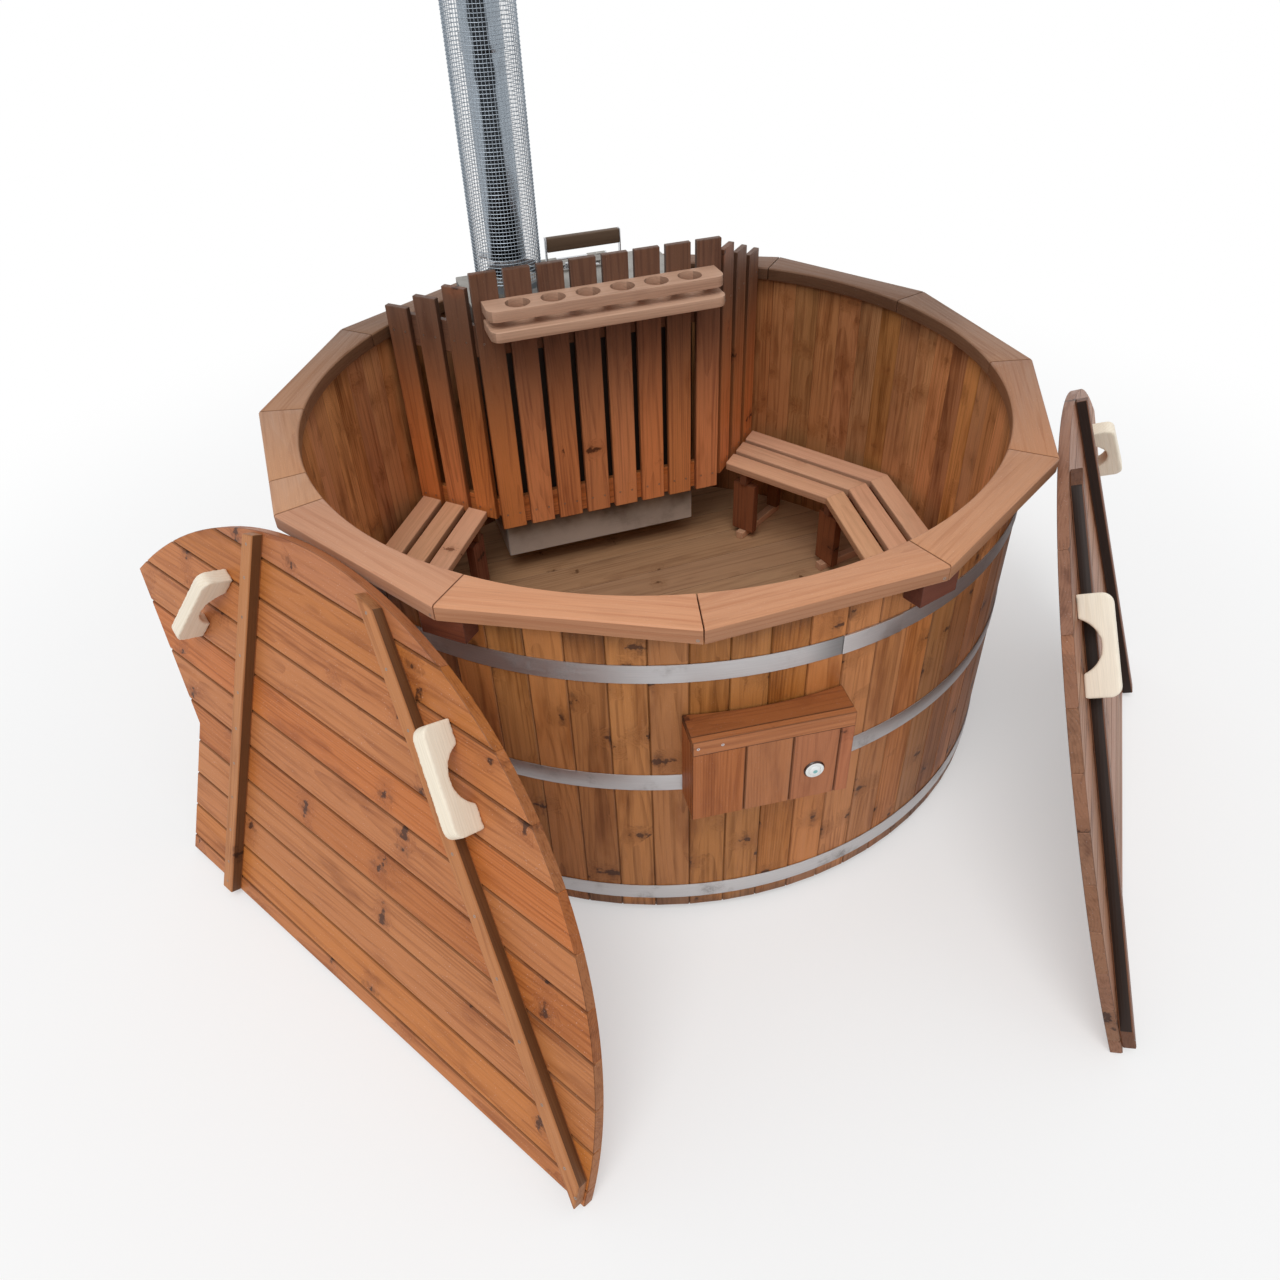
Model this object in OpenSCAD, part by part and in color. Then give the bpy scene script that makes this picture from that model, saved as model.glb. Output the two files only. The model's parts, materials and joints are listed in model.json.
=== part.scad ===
// Round wooden hot tub with an inside wood-fired heater, a slatted safety fence with a cup
// holder, a mitred bench and a two-part lid whose halves lean against the rim.
// Millimetres. The origin is on the tub's axis at ground level, and +Z is up.
// "Left" and "right" are as seen from the front, where the control box is.

/* [Tub wall] */
// Outside width of the wall across opposite stave faces
wall_d = 2000; // [1600:10:2400]
// Height of the rim's top above the ground
tub_h = 1000; // [850:10:1200]
// Number of staves
stave_count = 72; // [60:4:96]
// Thickness of a stave
stave_t = 45; // [38:1:54]
// Height of the stave ends above the ground
stave_lift = 22; // [15:1:40]
// Width of the small bevel on a stave's outer edges
stave_bevel = 2.5; // [1:0.5:5]
// Direction of one seam between two staves, degrees
seam_az = 3.9; // [0:0.1:5]

/* [Floor] */
// Height of the floor bearers
bearer_h = 62; // [50:1:80]
// Width of a floor bearer
bearer_w = 95; // [60:5:120]
// Distance between floor bearers
bearer_pitch = 590; // [400:10:640]
// Thickness of the floor boards
floor_t = 42; // [34:1:50]
// Width of a floor board
floor_board_w = 138; // [90:1:160]
// Depth of the groove in the staves that holds the floor
croze_depth = 12; // [8:1:18]
// Direction of the floor boards, degrees
floor_az = 20; // [-90:1:90]

/* [Hoops] */
// Height of a hoop band
hoop_w = 50; // [30:1:60]
// Thickness of a hoop band
hoop_t = 2; // [1.5:0.5:3]
// Height of the middle of the bottom hoop above the ground
hoop_bottom_z = 82; // [70:1:120]
// Height of the middle of the middle hoop above the ground
hoop_middle_z = 496; // [300:1:620]
// Distance from the rim's top down to the middle of the top hoop
hoop_top_drop = 169; // [140:1:260]
// Direction of the place where the top hoop's end laps over itself, degrees
hoop_lap_az = -66.5; // [-120:0.5:-40]
// Length of the top hoop's lapped end, degrees round the tub
hoop_lap_turn = 9; // [5:1:20]

/* [Rim] */
// Thickness of the rim boards
rim_t = 40; // [30:1:50]
// How far the flat sides of the rim stand out from the wall
rim_over = 32; // [20:1:60]
// How far the rim's inner edge stands in from the wall
rim_lip = 8; // [4:1:25]
// Number of sides of the rim
rim_sides = 12; // [8:1:16]
// Direction of one corner of the rim, degrees
rim_az = 5.1; // [0:0.1:30]
// Open seam between two rim boards
rim_seam = 2.5; // [0.4:0.1:4]
// Bevel along the rim's edges
rim_bevel = 4; // [1:0.5:8]
// Direction of the extra splice in one rim board, degrees
splice_az = 206.5; // [190:0.5:212]

/* [Fence] */
// Direction of the heater and its fence, degrees
fence_az = 109; // [0:1:360]
// Distance from the wall's inside to the front of the fence
heater_bay = 495; // [440:5:560]
// Width of the fence's front
fence_w = 783; // [700:1:850]
// Number of slats in the fence's front
fence_slats = 8; // [6:1:10]
// Width of a slat
slat_w = 81; // [70:1:90]
// Thickness of a slat
slat_t = 20; // [16:1:26]
// Distance between slats in the side panels
side_pitch = 113; // [100:1:130]
// Height of the fence's top above the rim
fence_rise = 205; // [100:5:300]
// Drop from each slat's top to the next in the side panels
fence_step = 45; // [0:5:60]
// Height of the front slats' lower ends above the ground
fence_low = 334; // [300:2:420]
// Angle by which the side panels fold back, degrees
fence_fold = 45; // [40:1:50]
// Thickness of a fence batten
batten_t = 20; // [15:1:25]
// Height of a fence batten
batten_h = 100; // [40:1:110]

/* [Cup holder] */
// Length of the cup holder
cup_l = 733; // [600:1:800]
// Depth of the cup holder's upper board
cup_depth = 100; // [90:1:150]
// How far the cup holder's lower board stands out past the upper one
cup_stand = 20; // [0:1:30]
// Thickness of a cup holder board
cup_t = 32; // [18:1:36]
// Open height between the two boards
cup_gap = 22; // [20:1:60]
// Number of cup holes
cup_count = 6; // [3:1:6]
// Diameter of a cup hole
cup_hole_d = 74; // [60:1:82]
// Distance between cup holes
cup_pitch = 107; // [95:1:120]
// Height of the cup holder's top above the rim
cup_rise = 125; // [60:5:160]

/* [Bench] */
// Height of the seat above the ground
seat_z = 400; // [360:5:480]
// Thickness of a seat slat
seat_t = 28; // [20:1:36]
// Width of a seat slat
seat_w = 72; // [55:1:80]
// Open gap between seat slats
seat_gap = 20; // [10:1:30]
// Number of straight bench lengths round the tub
bench_sides = 7; // [5:2:9]
// Turn from one bench length to the next, degrees
bench_turn = 41; // [36:0.5:44]
// Gap from the bench's corners to the wall
bench_wall_gap = 4; // [2:1:20]
// Thickness of the bench's bearers and legs
bench_wood_t = 28; // [20:1:36]
// Height of the bench's bearers
bench_bearer_h = 45; // [30:1:60]
// Width of a bench leg
leg_w = 90; // [60:5:100]

/* [Heater] */
// Width of the heater, along the fence
heater_w = 690; // [600:2:700]
// Depth of the heater, away from the fence
heater_l = 345; // [300:1:360]
// Shift of the heater's middle along the fence
heater_shift = 31; // [20:1:50]
// Height of the heater's underside above the ground
heater_low = 190; // [160:2:240]
// Height of the heater's top above the rim
heater_rise = 60; // [30:5:90]
// Thickness of the heater's sheet
sheet_t = 4; // [2:0.5:6]
// Length of the heater's lid along the fence
hatch_l = 246; // [200:1:250]
// Width of the heater's lid away from the fence
hatch_w = 250; // [220:5:260]
// Shift of the heater's lid along the fence
hatch_shift = -10; // [-60:5:-10]
// Length of the wooden grip on the heater's lid
grip_l = 236; // [180:1:240]

/* [Flue] */
// Outside diameter of the flue pipe
flue_d = 116; // [90:2:120]
// Height of the flue pipe's top above the ground
flue_top = 2390; // [2100:10:2600]
// Outside diameter of the heat guard
guard_d = 208; // [190:2:218]
// Height of the heat guard
guard_h = 900; // [600:20:1000]
// Number of window columns round the heat guard
guard_cols = 20; // [12:2:24]
// Number of window rows in the heat guard
guard_rows = 15; // [8:1:18]

/* [Control box] */
// Direction of the control box, degrees
box_az = -76.5; // [-100:0.5:-60]
// Width of the control box
box_w = 368; // [300:2:420]
// Height of the control box
box_h = 247; // [200:1:280]
// Distance from the rim's top down to the top of the control box
box_drop = 287; // [270:1:340]
// How far the control box stands out from the wall
box_out = 77; // [70:1:140]
// Thickness of the control box's boards
box_t = 18; // [12:1:22]
// Height of the rail along the top of the box's front
rail_h = 41; // [25:1:60]
// Width of a front board of the control box
box_board_w = 108; // [80:1:130]
// Diameter of the air button's bezel
bezel_d = 50; // [40:1:60]
// Travel of the air button
button_travel = 4; // [2:0.5:6]

/* [Drain] */
// Direction of the drain, degrees
drain_turn = 32.5; // [12.5:5:47.5]
// Height of the drain's middle above the ground
drain_z = 162; // [155:1:200]
// Outside diameter of the drain pipe and the hose outlet
drain_d = 40; // [32:1:50]

/* [Lid halves] */
// Radius of the lid
lid_r = 1050; // [900:5:1200]
// Thickness of a lid board
lid_t = 27; // [20:1:32]
// Width of a lid board
lid_board_w = 102; // [70:1:120]
// Width of the first lid board, at the straight edge
lid_first_w = 46; // [30:1:120]
// Depth of the V grooves between lid boards
lid_groove = 4; // [2:0.5:6]
// Thickness of a lid batten
lid_batten_t = 30; // [18:1:32]
// Width of a lid batten
lid_batten_w = 40; // [35:1:60]
// Distance of the straight batten from the lid's middle
lid_batten_s = 226; // [200:1:360]
// Angle of the slanting batten to the boards, degrees
lid_batten_slant = 49.2; // [40:0.1:60]
// Length of a lid handle
handle_l = 236; // [200:1:300]
// Height of a lid handle
handle_h = 76; // [70:1:110]
// Thickness of a lid handle
handle_t = 38; // [28:1:45]
// Radius of the finger scoop in a lid handle
scoop_r = 66; // [50:1:70]
// Lean of the left lid half, degrees
lean_left = 21.3; // [12:0.1:21.5]
// Lean of the right lid half, degrees
lean_right = 20.8; // [12:0.1:21.5]
// Direction that the right lid half faces, degrees
right_az = -19.8; // [-24:0.2:-16]

/* [Hidden] */
$fn = 96;
big_fn = 360;
seam = 0.4;          // gap between boards that lie edge to edge
touch = 0.3;         // gap between pieces that only rest on each other
run_fit = 0.08;      // radial clearance of a turning fit
over = 1;            // how far a cut runs past what it cuts

wall_r = wall_d / 2;
wall_ri = wall_r - stave_t;
stave_turn = 360 / stave_count;
wall_corner = wall_r / cos(stave_turn / 2);
stave_top = tub_h - rim_t;
floor_z = bearer_h;
floor_top = bearer_h + floor_t;
hoop_ri = wall_corner + touch / 2;
hoop_r = hoop_ri + hoop_t;
hoop_top_z = tub_h - hoop_top_drop;

rim_turn = 360 / rim_sides;
rim_flat = wall_r + rim_over;
rim_corner = rim_flat / cos(rim_turn / 2);
rim_ri = wall_ri - rim_lip;

fence_d = wall_ri - heater_bay;
fence_top = tub_h + fence_rise;
side_low = fence_low + 35;
slat_pitch = (fence_w - slat_w) / (fence_slats - 1);
fold_start = 24;     // from the fold to the first side slat
side_margin = 6;     // from the last side slat to the wall
fence_reach = -(fence_d * cos(fence_fold) + fence_w / 2 * sin(fence_fold))
    + sqrt(pow(fence_d * cos(fence_fold) + fence_w / 2 * sin(fence_fold), 2)
        - pow(fence_d, 2) - pow(fence_w / 2, 2) + pow(wall_ri, 2));
side_slats = floor((fence_reach - fold_start - slat_w - side_margin) / side_pitch) + 1;
batten_in = 4;       // from a slat's lower end up to the batten
batten_high_z = tub_h - 55;
batten_low_z = fence_low + batten_in;

cup_top_z = tub_h + cup_rise;
cup_corner = 32;     // radius of the cup holder's front corners
spacer_w = 34;

seat_low = seat_z - seat_t;
bench_corner = wall_ri - bench_wall_gap;
bench_flat = bench_corner * cos(bench_turn / 2);
bench_deep = 3 * seat_w + 2 * seat_gap;
bench_in = bench_flat - bench_deep;
bench_last = (bench_sides - 1) / 2;
bench_end_turn = bench_last * bench_turn;
bench_end_gap = 12;  // from the bench's cut ends to the fence
bench_end_back = 82; // from the bench's inner cut corner back to the end station
bench_end_s = (bench_in * (cos(bench_end_turn) + sin(bench_end_turn)) + fence_d - fence_w / 2)
    / (sin(bench_end_turn) - cos(bench_end_turn)) - bench_end_back;
foot_top = floor_top + bench_wood_t;
leg_top = seat_low - bench_bearer_h;

heater_gap = 8;      // from the fence's battens to the heater
heater_x = fence_d + slat_t + batten_t + heater_gap;
heater_end = heater_x + heater_l;
heater_y0 = heater_shift - heater_w / 2;
heater_y1 = heater_shift + heater_w / 2;
heater_corner = 6;
heater_top_z = tub_h + heater_rise;
plate_t = 5;
plate_top = heater_top_z + plate_t;
upstand_h = 15;
upstand_in = 20;     // from the lid's front and back to the upstand
baffle_y = hatch_shift + hatch_l / 2 + 14;
hinge_r = 7;
pin_r = 4;
hinge_out = 14;      // from the lid's back edge to the hinge pin
hinge_len = 30;
hinge_in = 10;       // from the lid's ends to the hinge's
hinge_ends = [hatch_shift - hatch_l / 2 + hinge_in,
    hatch_shift + hatch_l / 2 - hinge_in - hinge_len];
hatch_room = heater_l - hatch_w - hinge_out - hinge_r - 4;
hatch_x = heater_x + hatch_room * 0.743;
hatch_t = 5;
hatch_low = plate_top + upstand_h + touch;
hatch_top = hatch_low + hatch_t;
skirt_h = 12;
hinge_x = hatch_x + hatch_w + hinge_out;
hinge_z = hatch_low + hatch_t / 2;
grip_low = 79;       // from the lid's top to the underside of the grip
grip_h = 43;
grip_t = 22;
strap_t = 3;
strap_w = 20;
grip_x = hatch_x + hatch_w / 2 - 14;
vent_pitch = 24;
vent_w = 10;
vent_l = 26;
vent_x = hatch_x + hatch_w - 85;
slide_w = 40;
slide_l = 112;
slide_t = 3;

flue_r = flue_d / 2;
flue_x = heater_x + heater_l / 2 + 19.5;
flue_y = heater_y1 - 148;
flue_t = 2;
flue_joint = plate_top + 700;
socket_h = 45;
collar_h = 50;
collar_t = 3;
guard_r = guard_d / 2;
guard_t = 1.5;
guard_low = plate_top + 15;

box_top_z = tub_h - box_drop;
box_low_z = box_top_z - box_h;
box_x = wall_r + box_out;
box_face = box_x - 1;             // face of the front boards, just behind the rail's
box_back = hoop_r + touch;
button_y = 98;
button_z = tub_h - 444;
button_r = 14;
button_lip = 3;      // depth behind the board's face of the lip that keeps the button in
barrel_r = button_r + 8;
flange_r = button_r + 2.5;        // flange of the button, behind the lip
flange_t = 3;
inlet_az = seam_az + stave_turn * (floor((box_az - seam_az) / stave_turn) + 0.5);
inlet_z = button_z + 48;
inlet_r = 15;
inlet_t = 3;

drain_r = drain_d / 2;
drain_az = seam_az + stave_turn * (floor(drain_turn / stave_turn) + 0.5);
drain_bore = drain_r - 4;
valve_x = wall_r + 72;
valve_half = 30;     // half length of the valve's round body
valve_hex_r = 32;
outlet_l = 58;
ball_r = 22;
ball_fit = 0.2;
stem_r = 6;
lever_z = 46;
lever_l = 95;
lever_t = 4;

lug_az = [62, 74, 50];            // tension joints of the top, middle and bottom hoops
hoop_zs = [hoop_top_z, hoop_middle_z, hoop_bottom_z];
lug_gap = 26;
lug_t = 12;
lug_h = 28;
bolt_r = 5;
bolt_x = hoop_r + lug_h * 0.58;
nut_r = 9.5;
nut_h = 8;

cut_s = fence_d - 20;             // the lid's cut-out round the heater's fence
cut_t = fence_w / 2 + 12;
front_handle = [lid_r * 0.886, 34.2, 17.6];    // reach, direction and tilt
rear_handle = [lid_r * 0.826, -26.9, -32.8];
handle_round = 24;
left_az = rim_az + rim_turn * 7.5;
left_shift = -75;
right_shift = 73;
// The left half rests on a flat side of the rim and the right half on one of its corners.
// A half too short to reach the rim rests on the wall, or on the top hoop at its height.
corner_off = right_az - (rim_az - rim_turn);
corner_s = -rim_corner * sin(corner_off) - right_shift;
left_top = lid_r * cos(lean_left);
right_reach = sqrt(pow(lid_r, 2) - pow(corner_s, 2));
right_top = right_reach * cos(lean_right);
left_foot = touch + min(left_top, tub_h) * tan(lean_left)
    + (left_top > stave_top ? rim_flat : wall_at(left_top, left_shift));
right_foot = touch + (right_top > stave_top
    ? rim_corner * cos(corner_off) + min(right_top, tub_h) * tan(lean_right)
    : wall_at(lid_r * cos(lean_right), right_shift) + lid_r * sin(lean_right));

// Distance out to the wall, or to the top hoop, at a height and a sideways shift.
function wall_at(z, shift) = sqrt(pow(abs(z - hoop_top_z) < hoop_w / 2 ? hoop_r : wall_corner, 2)
    - pow(shift, 2));

// Places its children in the frame of direction az: +X points out from the tub's axis.
module facing(az) { rotate([0, 0, az]) children(); }

// A rectangle given by its lower corner and upper corner, extruded between two heights.
module block(x0, x1, y0, y1, z0, z1) {
    translate([x0, y0, z0]) cube([x1 - x0, y1 - y0, z1 - z0]);
}

// A cylinder along local X.
module rod_x(r, x0, x1, y, z) {
    translate([x0, y, z]) rotate([0, 90, 0]) cylinder(h = x1 - x0, r = r);
}

// A cylinder along local Y.
module rod_y(r, x, y0, y1, z) {
    translate([x, y1, z]) rotate([90, 0, 0]) cylinder(h = y1 - y0, r = r);
}

// A flat ring round the Z axis.
module ring(r_in, r_out, z0, z1) {
    difference() {
        translate([0, 0, z0]) cylinder(h = z1 - z0, r = r_out, $fn = big_fn);
        translate([0, 0, z0 - over]) cylinder(h = z1 - z0 + 2 * over, r = r_in, $fn = big_fn);
    }
}

// ---- Tub wall ----

// Plan of one stave, centred on local X: a wedge with flat faces and bevelled outer edges.
module stave_plan() {
    outer = wall_r * tan(stave_turn / 2) - seam / 2;
    inner = wall_ri * tan(stave_turn / 2) - seam / 2;
    polygon([[wall_ri, -inner], [wall_r - stave_bevel, -outer + stave_bevel * 0.05],
        [wall_r, -outer + stave_bevel], [wall_r, outer - stave_bevel],
        [wall_r - stave_bevel, outer - stave_bevel * 0.05], [wall_ri, inner]]);
}

module staves() {
    color("peru") difference() {
        for (i = [0 : stave_count - 1]) facing(seam_az + stave_turn * (i + 0.5)) difference() {
            translate([0, 0, stave_lift]) linear_extrude(stave_top - stave_lift) stave_plan();
            block(wall_ri - over, wall_ri + croze_depth, -wall_r, wall_r,
                floor_z - touch / 2, floor_top + touch / 2);
        }
        facing(drain_az) rod_x(drain_r + touch, wall_ri - over, wall_r + over, 0, drain_z);
        facing(inlet_az) rod_x(inlet_r + touch, wall_ri - over, wall_r + over, 0, inlet_z);
    }
}

module floor_boards() {
    edge_r = wall_ri + croze_depth - touch;
    count = ceil(edge_r * 2 / floor_board_w);
    color("tan") facing(floor_az) for (i = [0 : count - 1]) intersection() {
        translate([0, 0, floor_z]) cylinder(h = floor_t, r = edge_r, $fn = big_fn);
        block(-wall_r, wall_r, (i - count / 2) * floor_board_w + seam / 2,
            (i + 1 - count / 2) * floor_board_w - seam / 2, floor_z - over, floor_top + over);
    }
}

module floor_bearers() {
    bearer_r = wall_ri - 6;      // the ends stay inside the wall
    color("saddlebrown") facing(floor_az) for (i = [-1 : 1]) {
        half = sqrt(pow(bearer_r, 2) - pow(abs(i) * bearer_pitch + bearer_w / 2, 2));
        block(i * bearer_pitch - bearer_w / 2, i * bearer_pitch + bearer_w / 2, -half, half,
            0, bearer_h);
    }
}

// ---- Hoops ----

// A band round the staves, open where its two lugs pull it together.
module hoop(z, az) {
    difference() {
        ring(hoop_ri, hoop_r, z - hoop_w / 2, z + hoop_w / 2);
        facing(az) block(0, hoop_r + over, -lug_gap / 2, lug_gap / 2, z - hoop_w, z + hoop_w);
    }
}

module hoop_top() {
    color("silver") {
        hoop(hoop_top_z, lug_az[0]);
        facing(hoop_lap_az) rotate_extrude(angle = hoop_lap_turn, $fn = big_fn)
            translate([hoop_r - hoop_t / 2, hoop_top_z - hoop_w / 2]) square([hoop_t * 1.5, hoop_w]);
    }
}

module hoop_middle() { color("silver") hoop(hoop_middle_z, lug_az[1]); }

module hoop_bottom() { color("silver") hoop(hoop_bottom_z, lug_az[2]); }

// Welded angle lug: a foot along the band and an upright with a bolt hole.
module lug(side) {
    foot_t = 6;
    foot_l = lug_t * 2.4;
    half_w = hoop_w / 2 - 6;
    y0 = side * lug_gap / 2;
    x0 = hoop_r + touch / 3;
    difference() {
        union() {
            block(x0, hoop_r + lug_h, min(y0, y0 + side * lug_t), max(y0, y0 + side * lug_t),
                -half_w, half_w);
            block(x0, hoop_r + foot_t, min(y0, y0 + side * foot_l), max(y0, y0 + side * foot_l),
                -half_w, half_w);
        }
        rod_y(bolt_r + touch, bolt_x, -2 * lug_gap, 2 * lug_gap, 0);
    }
}

module hoop_lugs() {
    color("lightgray") for (i = [0 : 2]) facing(lug_az[i]) translate([0, 0, hoop_zs[i]]) {
        lug(1);
        lug(-1);
    }
}

// Bolts with a head at one end and a nut part way along the thread at the other.
module hoop_bolts() {
    end = lug_gap / 2 + lug_t;
    washer = 8;
    thread = 22;
    color("gainsboro") for (i = [0 : 2]) facing(lug_az[i]) translate([bolt_x, 0, hoop_zs[i]]) {
        rod_y(bolt_r, 0, -end - nut_h, end + thread, 0);
        translate([0, -end - touch / 3, 0]) rotate([90, 0, 0]) cylinder(h = nut_h, r = nut_r, $fn = 6);
        translate([0, end + touch / 3 + washer, 0]) rotate([90, 0, 0])
            cylinder(h = nut_h, r = nut_r, $fn = 6);
    }
}

// ---- Rim ----

// One rim board between two directions: straight outside, round inside, bevelled edges.
module rim_board(side, az0, az1) {
    mid = rim_az + rim_turn * (side + 0.5);
    far = rim_corner * 1.3;
    off = rim_seam / 2;
    color("burlywood") difference() {
        facing(mid) block(0, rim_flat, -rim_corner, rim_corner, stave_top, tub_h);
        translate([0, 0, stave_top - over]) cylinder(h = rim_t + 2 * over, r = rim_ri, $fn = big_fn);
        facing(az0) block(-far, far, off - far, off, stave_top - over, tub_h + over);
        facing(az1) block(-far, far, -off, far, stave_top - over, tub_h + over);
        facing(mid) translate([rim_flat, 0, tub_h]) rotate([0, 45, 0])
            cube([rim_bevel * sqrt(2), 3 * rim_corner, rim_bevel * sqrt(2)], center = true);
        facing(mid) translate([rim_flat, 0, stave_top]) rotate([0, 45, 0])
            cube([rim_bevel, 3 * rim_corner, rim_bevel], center = true);
        rotate_extrude($fn = big_fn) polygon([[rim_ri - over, tub_h - rim_bevel - over],
            [rim_ri - over, tub_h + over], [rim_ri + rim_bevel + over, tub_h + over]]);
    }
}

module rim_segments() {
    for (i = [0 : rim_sides - 1]) {
        az0 = rim_az + rim_turn * i;
        az1 = az0 + rim_turn;
        if (splice_az > az0 && splice_az < az1) {
            rim_board(i, az0, splice_az);
            rim_board(i, splice_az, az1);
        } else {
            rim_board(i, az0, az1);
        }
    }
}

// Blocks under every second corner of the rim, screwed to the wall.
module rim_supports() {
    support_w = 110;
    support_h = 58;
    back = wall_corner + touch;
    front = rim_corner - support_w / 2 * tan(rim_turn / 2) - 3;
    color("sienna") for (i = [0 : 2 : rim_sides - 1]) facing(rim_az + rim_turn * i)
        block(back, front, -support_w / 2, support_w / 2, stave_top - support_h, stave_top);
}

// ---- Fence ----

// Frame of a side panel: +X runs from the fold towards the wall and -Y goes behind the slats.
module side_frame() {
    translate([fence_d, fence_w / 2, 0]) rotate([0, 0, fence_fold]) children();
}

// Left as seen from the front is +Y in the fence's own frame.
module left_side() { facing(fence_az) side_frame() children(); }

module right_side() { facing(fence_az) mirror([0, 1, 0]) side_frame() children(); }

module fence_front_slats() {
    color("sienna") facing(fence_az) for (i = [0 : fence_slats - 1]) {
        y0 = -fence_w / 2 + i * slat_pitch;
        block(fence_d, fence_d + slat_t, y0, y0 + slat_w, fence_low, fence_top);
    }
}

module side_panel_slats() {
    for (i = [0 : side_slats - 1]) {
        x0 = fold_start + i * side_pitch;
        block(x0, x0 + slat_w, -slat_t, 0, side_low, fence_top - (i + 1) * fence_step);
    }
}

module fence_left_slats() { color("sienna") left_side() side_panel_slats(); }

module fence_right_slats() { color("sienna") right_side() side_panel_slats(); }

// Battens behind the front slats, mitred where they meet the side battens.
module fence_front_battens() {
    near = fence_w / 2 - slat_t * tan(fence_fold / 2) - seam;
    far = fence_w / 2 - (slat_t + batten_t) * tan(fence_fold / 2) - seam;
    color("saddlebrown") facing(fence_az) for (z = [batten_low_z, batten_high_z])
        translate([fence_d + slat_t, 0, z]) linear_extrude(batten_h)
            polygon([[0, -near], [batten_t, -far], [batten_t, far], [0, near]]);
}

// Batten behind a side panel between two heights, mitred at the fold.
module side_batten(z0, z1) {
    near = slat_t * tan(fence_fold / 2) + seam;
    far = (slat_t + batten_t) * tan(fence_fold / 2) + seam;
    translate([0, 0, z0]) linear_extrude(z1 - z0) polygon([[near, -slat_t], [wall_r, -slat_t],
        [wall_r, -slat_t - batten_t], [far, -slat_t - batten_t]]);
}

module side_panel_battens() {
    side_batten(side_low + batten_in, batten_low_z + batten_h);
    side_batten(batten_high_z, batten_high_z + batten_h);
}

// Cuts its children to the wall's curve, and the upper ones to the rim's inner edge.
module inside_wall() {
    intersection() {
        children();
        union() {
            cylinder(h = batten_high_z - over, r = wall_ri - touch, $fn = big_fn);
            cylinder(h = 2 * fence_top, r = rim_ri - touch, $fn = big_fn);
        }
    }
}

module fence_left_battens() {
    color("saddlebrown") inside_wall() left_side() side_panel_battens();
}

module fence_right_battens() {
    color("saddlebrown") inside_wall() right_side() side_panel_battens();
}

// ---- Cup holder ----

// Plan of a cup holder board: square at the fence and rounded at the front.
module cup_plan(depth) {
    x0 = fence_d - depth;
    translate([x0 + cup_corner, -cup_l / 2]) square([depth - cup_corner, cup_l]);
    translate([x0, -cup_l / 2 + cup_corner]) square([depth, cup_l - 2 * cup_corner]);
    for (s = [-1, 1]) translate([x0 + cup_corner, s * (cup_l / 2 - cup_corner)]) circle(cup_corner);
}

module cup_holder_top() {
    color("wheat") facing(fence_az) translate([0, 0, cup_top_z - cup_t]) difference() {
        linear_extrude(cup_t) cup_plan(cup_depth);
        for (i = [0 : cup_count - 1])
            translate([fence_d - cup_depth / 2, (i - (cup_count - 1) / 2) * cup_pitch, -over])
                cylinder(h = cup_t + 2 * over, d = cup_hole_d);
    }
}

module cup_holder_base() {
    color("wheat") facing(fence_az) translate([0, 0, cup_top_z - 2 * cup_t - cup_gap])
        linear_extrude(cup_t) cup_plan(cup_depth + cup_stand);
}

// Blocks that keep the two boards apart, between the holes.
module cup_holder_spacers() {
    color("tan") facing(fence_az) for (s = [-1, 0, 1])
        translate([fence_d - spacer_w, s * cup_pitch * 2 - spacer_w / 2, cup_top_z - cup_t - cup_gap])
            cube([spacer_w, spacer_w, cup_gap]);
}

// ---- Bench ----

// One seat slat all round: straight lengths mitred to each other, cut off at the fence.
module seat_ring(inset) {
    out = bench_flat - inset;
    in = out - seat_w;
    run_on = wall_r * 0.6;
    difference() {
        translate([0, 0, seat_low]) facing(fence_az + 180) for (k = [-bench_last : bench_last]) {
            lo = k == -bench_last ? run_on : out * tan(bench_turn / 2) - seam;
            hi = k == bench_last ? run_on : out * tan(bench_turn / 2) - seam;
            lo_in = k == -bench_last ? run_on : in * tan(bench_turn / 2) - seam;
            hi_in = k == bench_last ? run_on : in * tan(bench_turn / 2) - seam;
            facing(k * bench_turn) linear_extrude(seat_t)
                polygon([[in, -lo_in], [out, -lo], [out, hi], [in, hi_in]]);
        }
        bench_cut();
    }
}

// The wedge between the planes of the fence's side panels, with a gap left in front of them.
module bench_cut() {
    far = 3 * wall_r;
    tip = fence_d - fence_w / 2 / tan(fence_fold) - bench_end_gap / sin(fence_fold);
    facing(fence_az) linear_extrude(seat_z + over) polygon([[tip, 0],
        [tip + far * cos(fence_fold), far * sin(fence_fold)],
        [tip + far * cos(fence_fold), -far * sin(fence_fold)]]);
}

module bench_slat_outer() { color("burlywood") seat_ring(0); }

module bench_slat_middle() { color("burlywood") seat_ring(seat_w + seat_gap); }

module bench_slat_inner() { color("burlywood") seat_ring(2 * (seat_w + seat_gap)); }

// Places its children at the bench's inner edge at each mitre and near each end, with +X
// across the bench. They are told the bench's depth there.
module bench_stations() {
    facing(fence_az + 180) {
        for (k = [-bench_last + 0.5 : 1 : bench_last - 0.5]) facing(k * bench_turn)
            at_inner_edge(1 / cos(bench_turn / 2)) children();
        for (s = [-1, 1]) facing(s * bench_end_turn) translate([0, s * bench_end_s, 0])
            at_inner_edge(1) children();
    }
}

module at_inner_edge(stretch) {
    $bench_depth = bench_deep * stretch;
    translate([bench_in * stretch, 0, 0]) children();
}

module bench_bearers() {
    inset = 6;
    color("saddlebrown") bench_stations() block(inset, $bench_depth - inset,
        -bench_wood_t / 2, bench_wood_t / 2, leg_top, seat_low);
}

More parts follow.
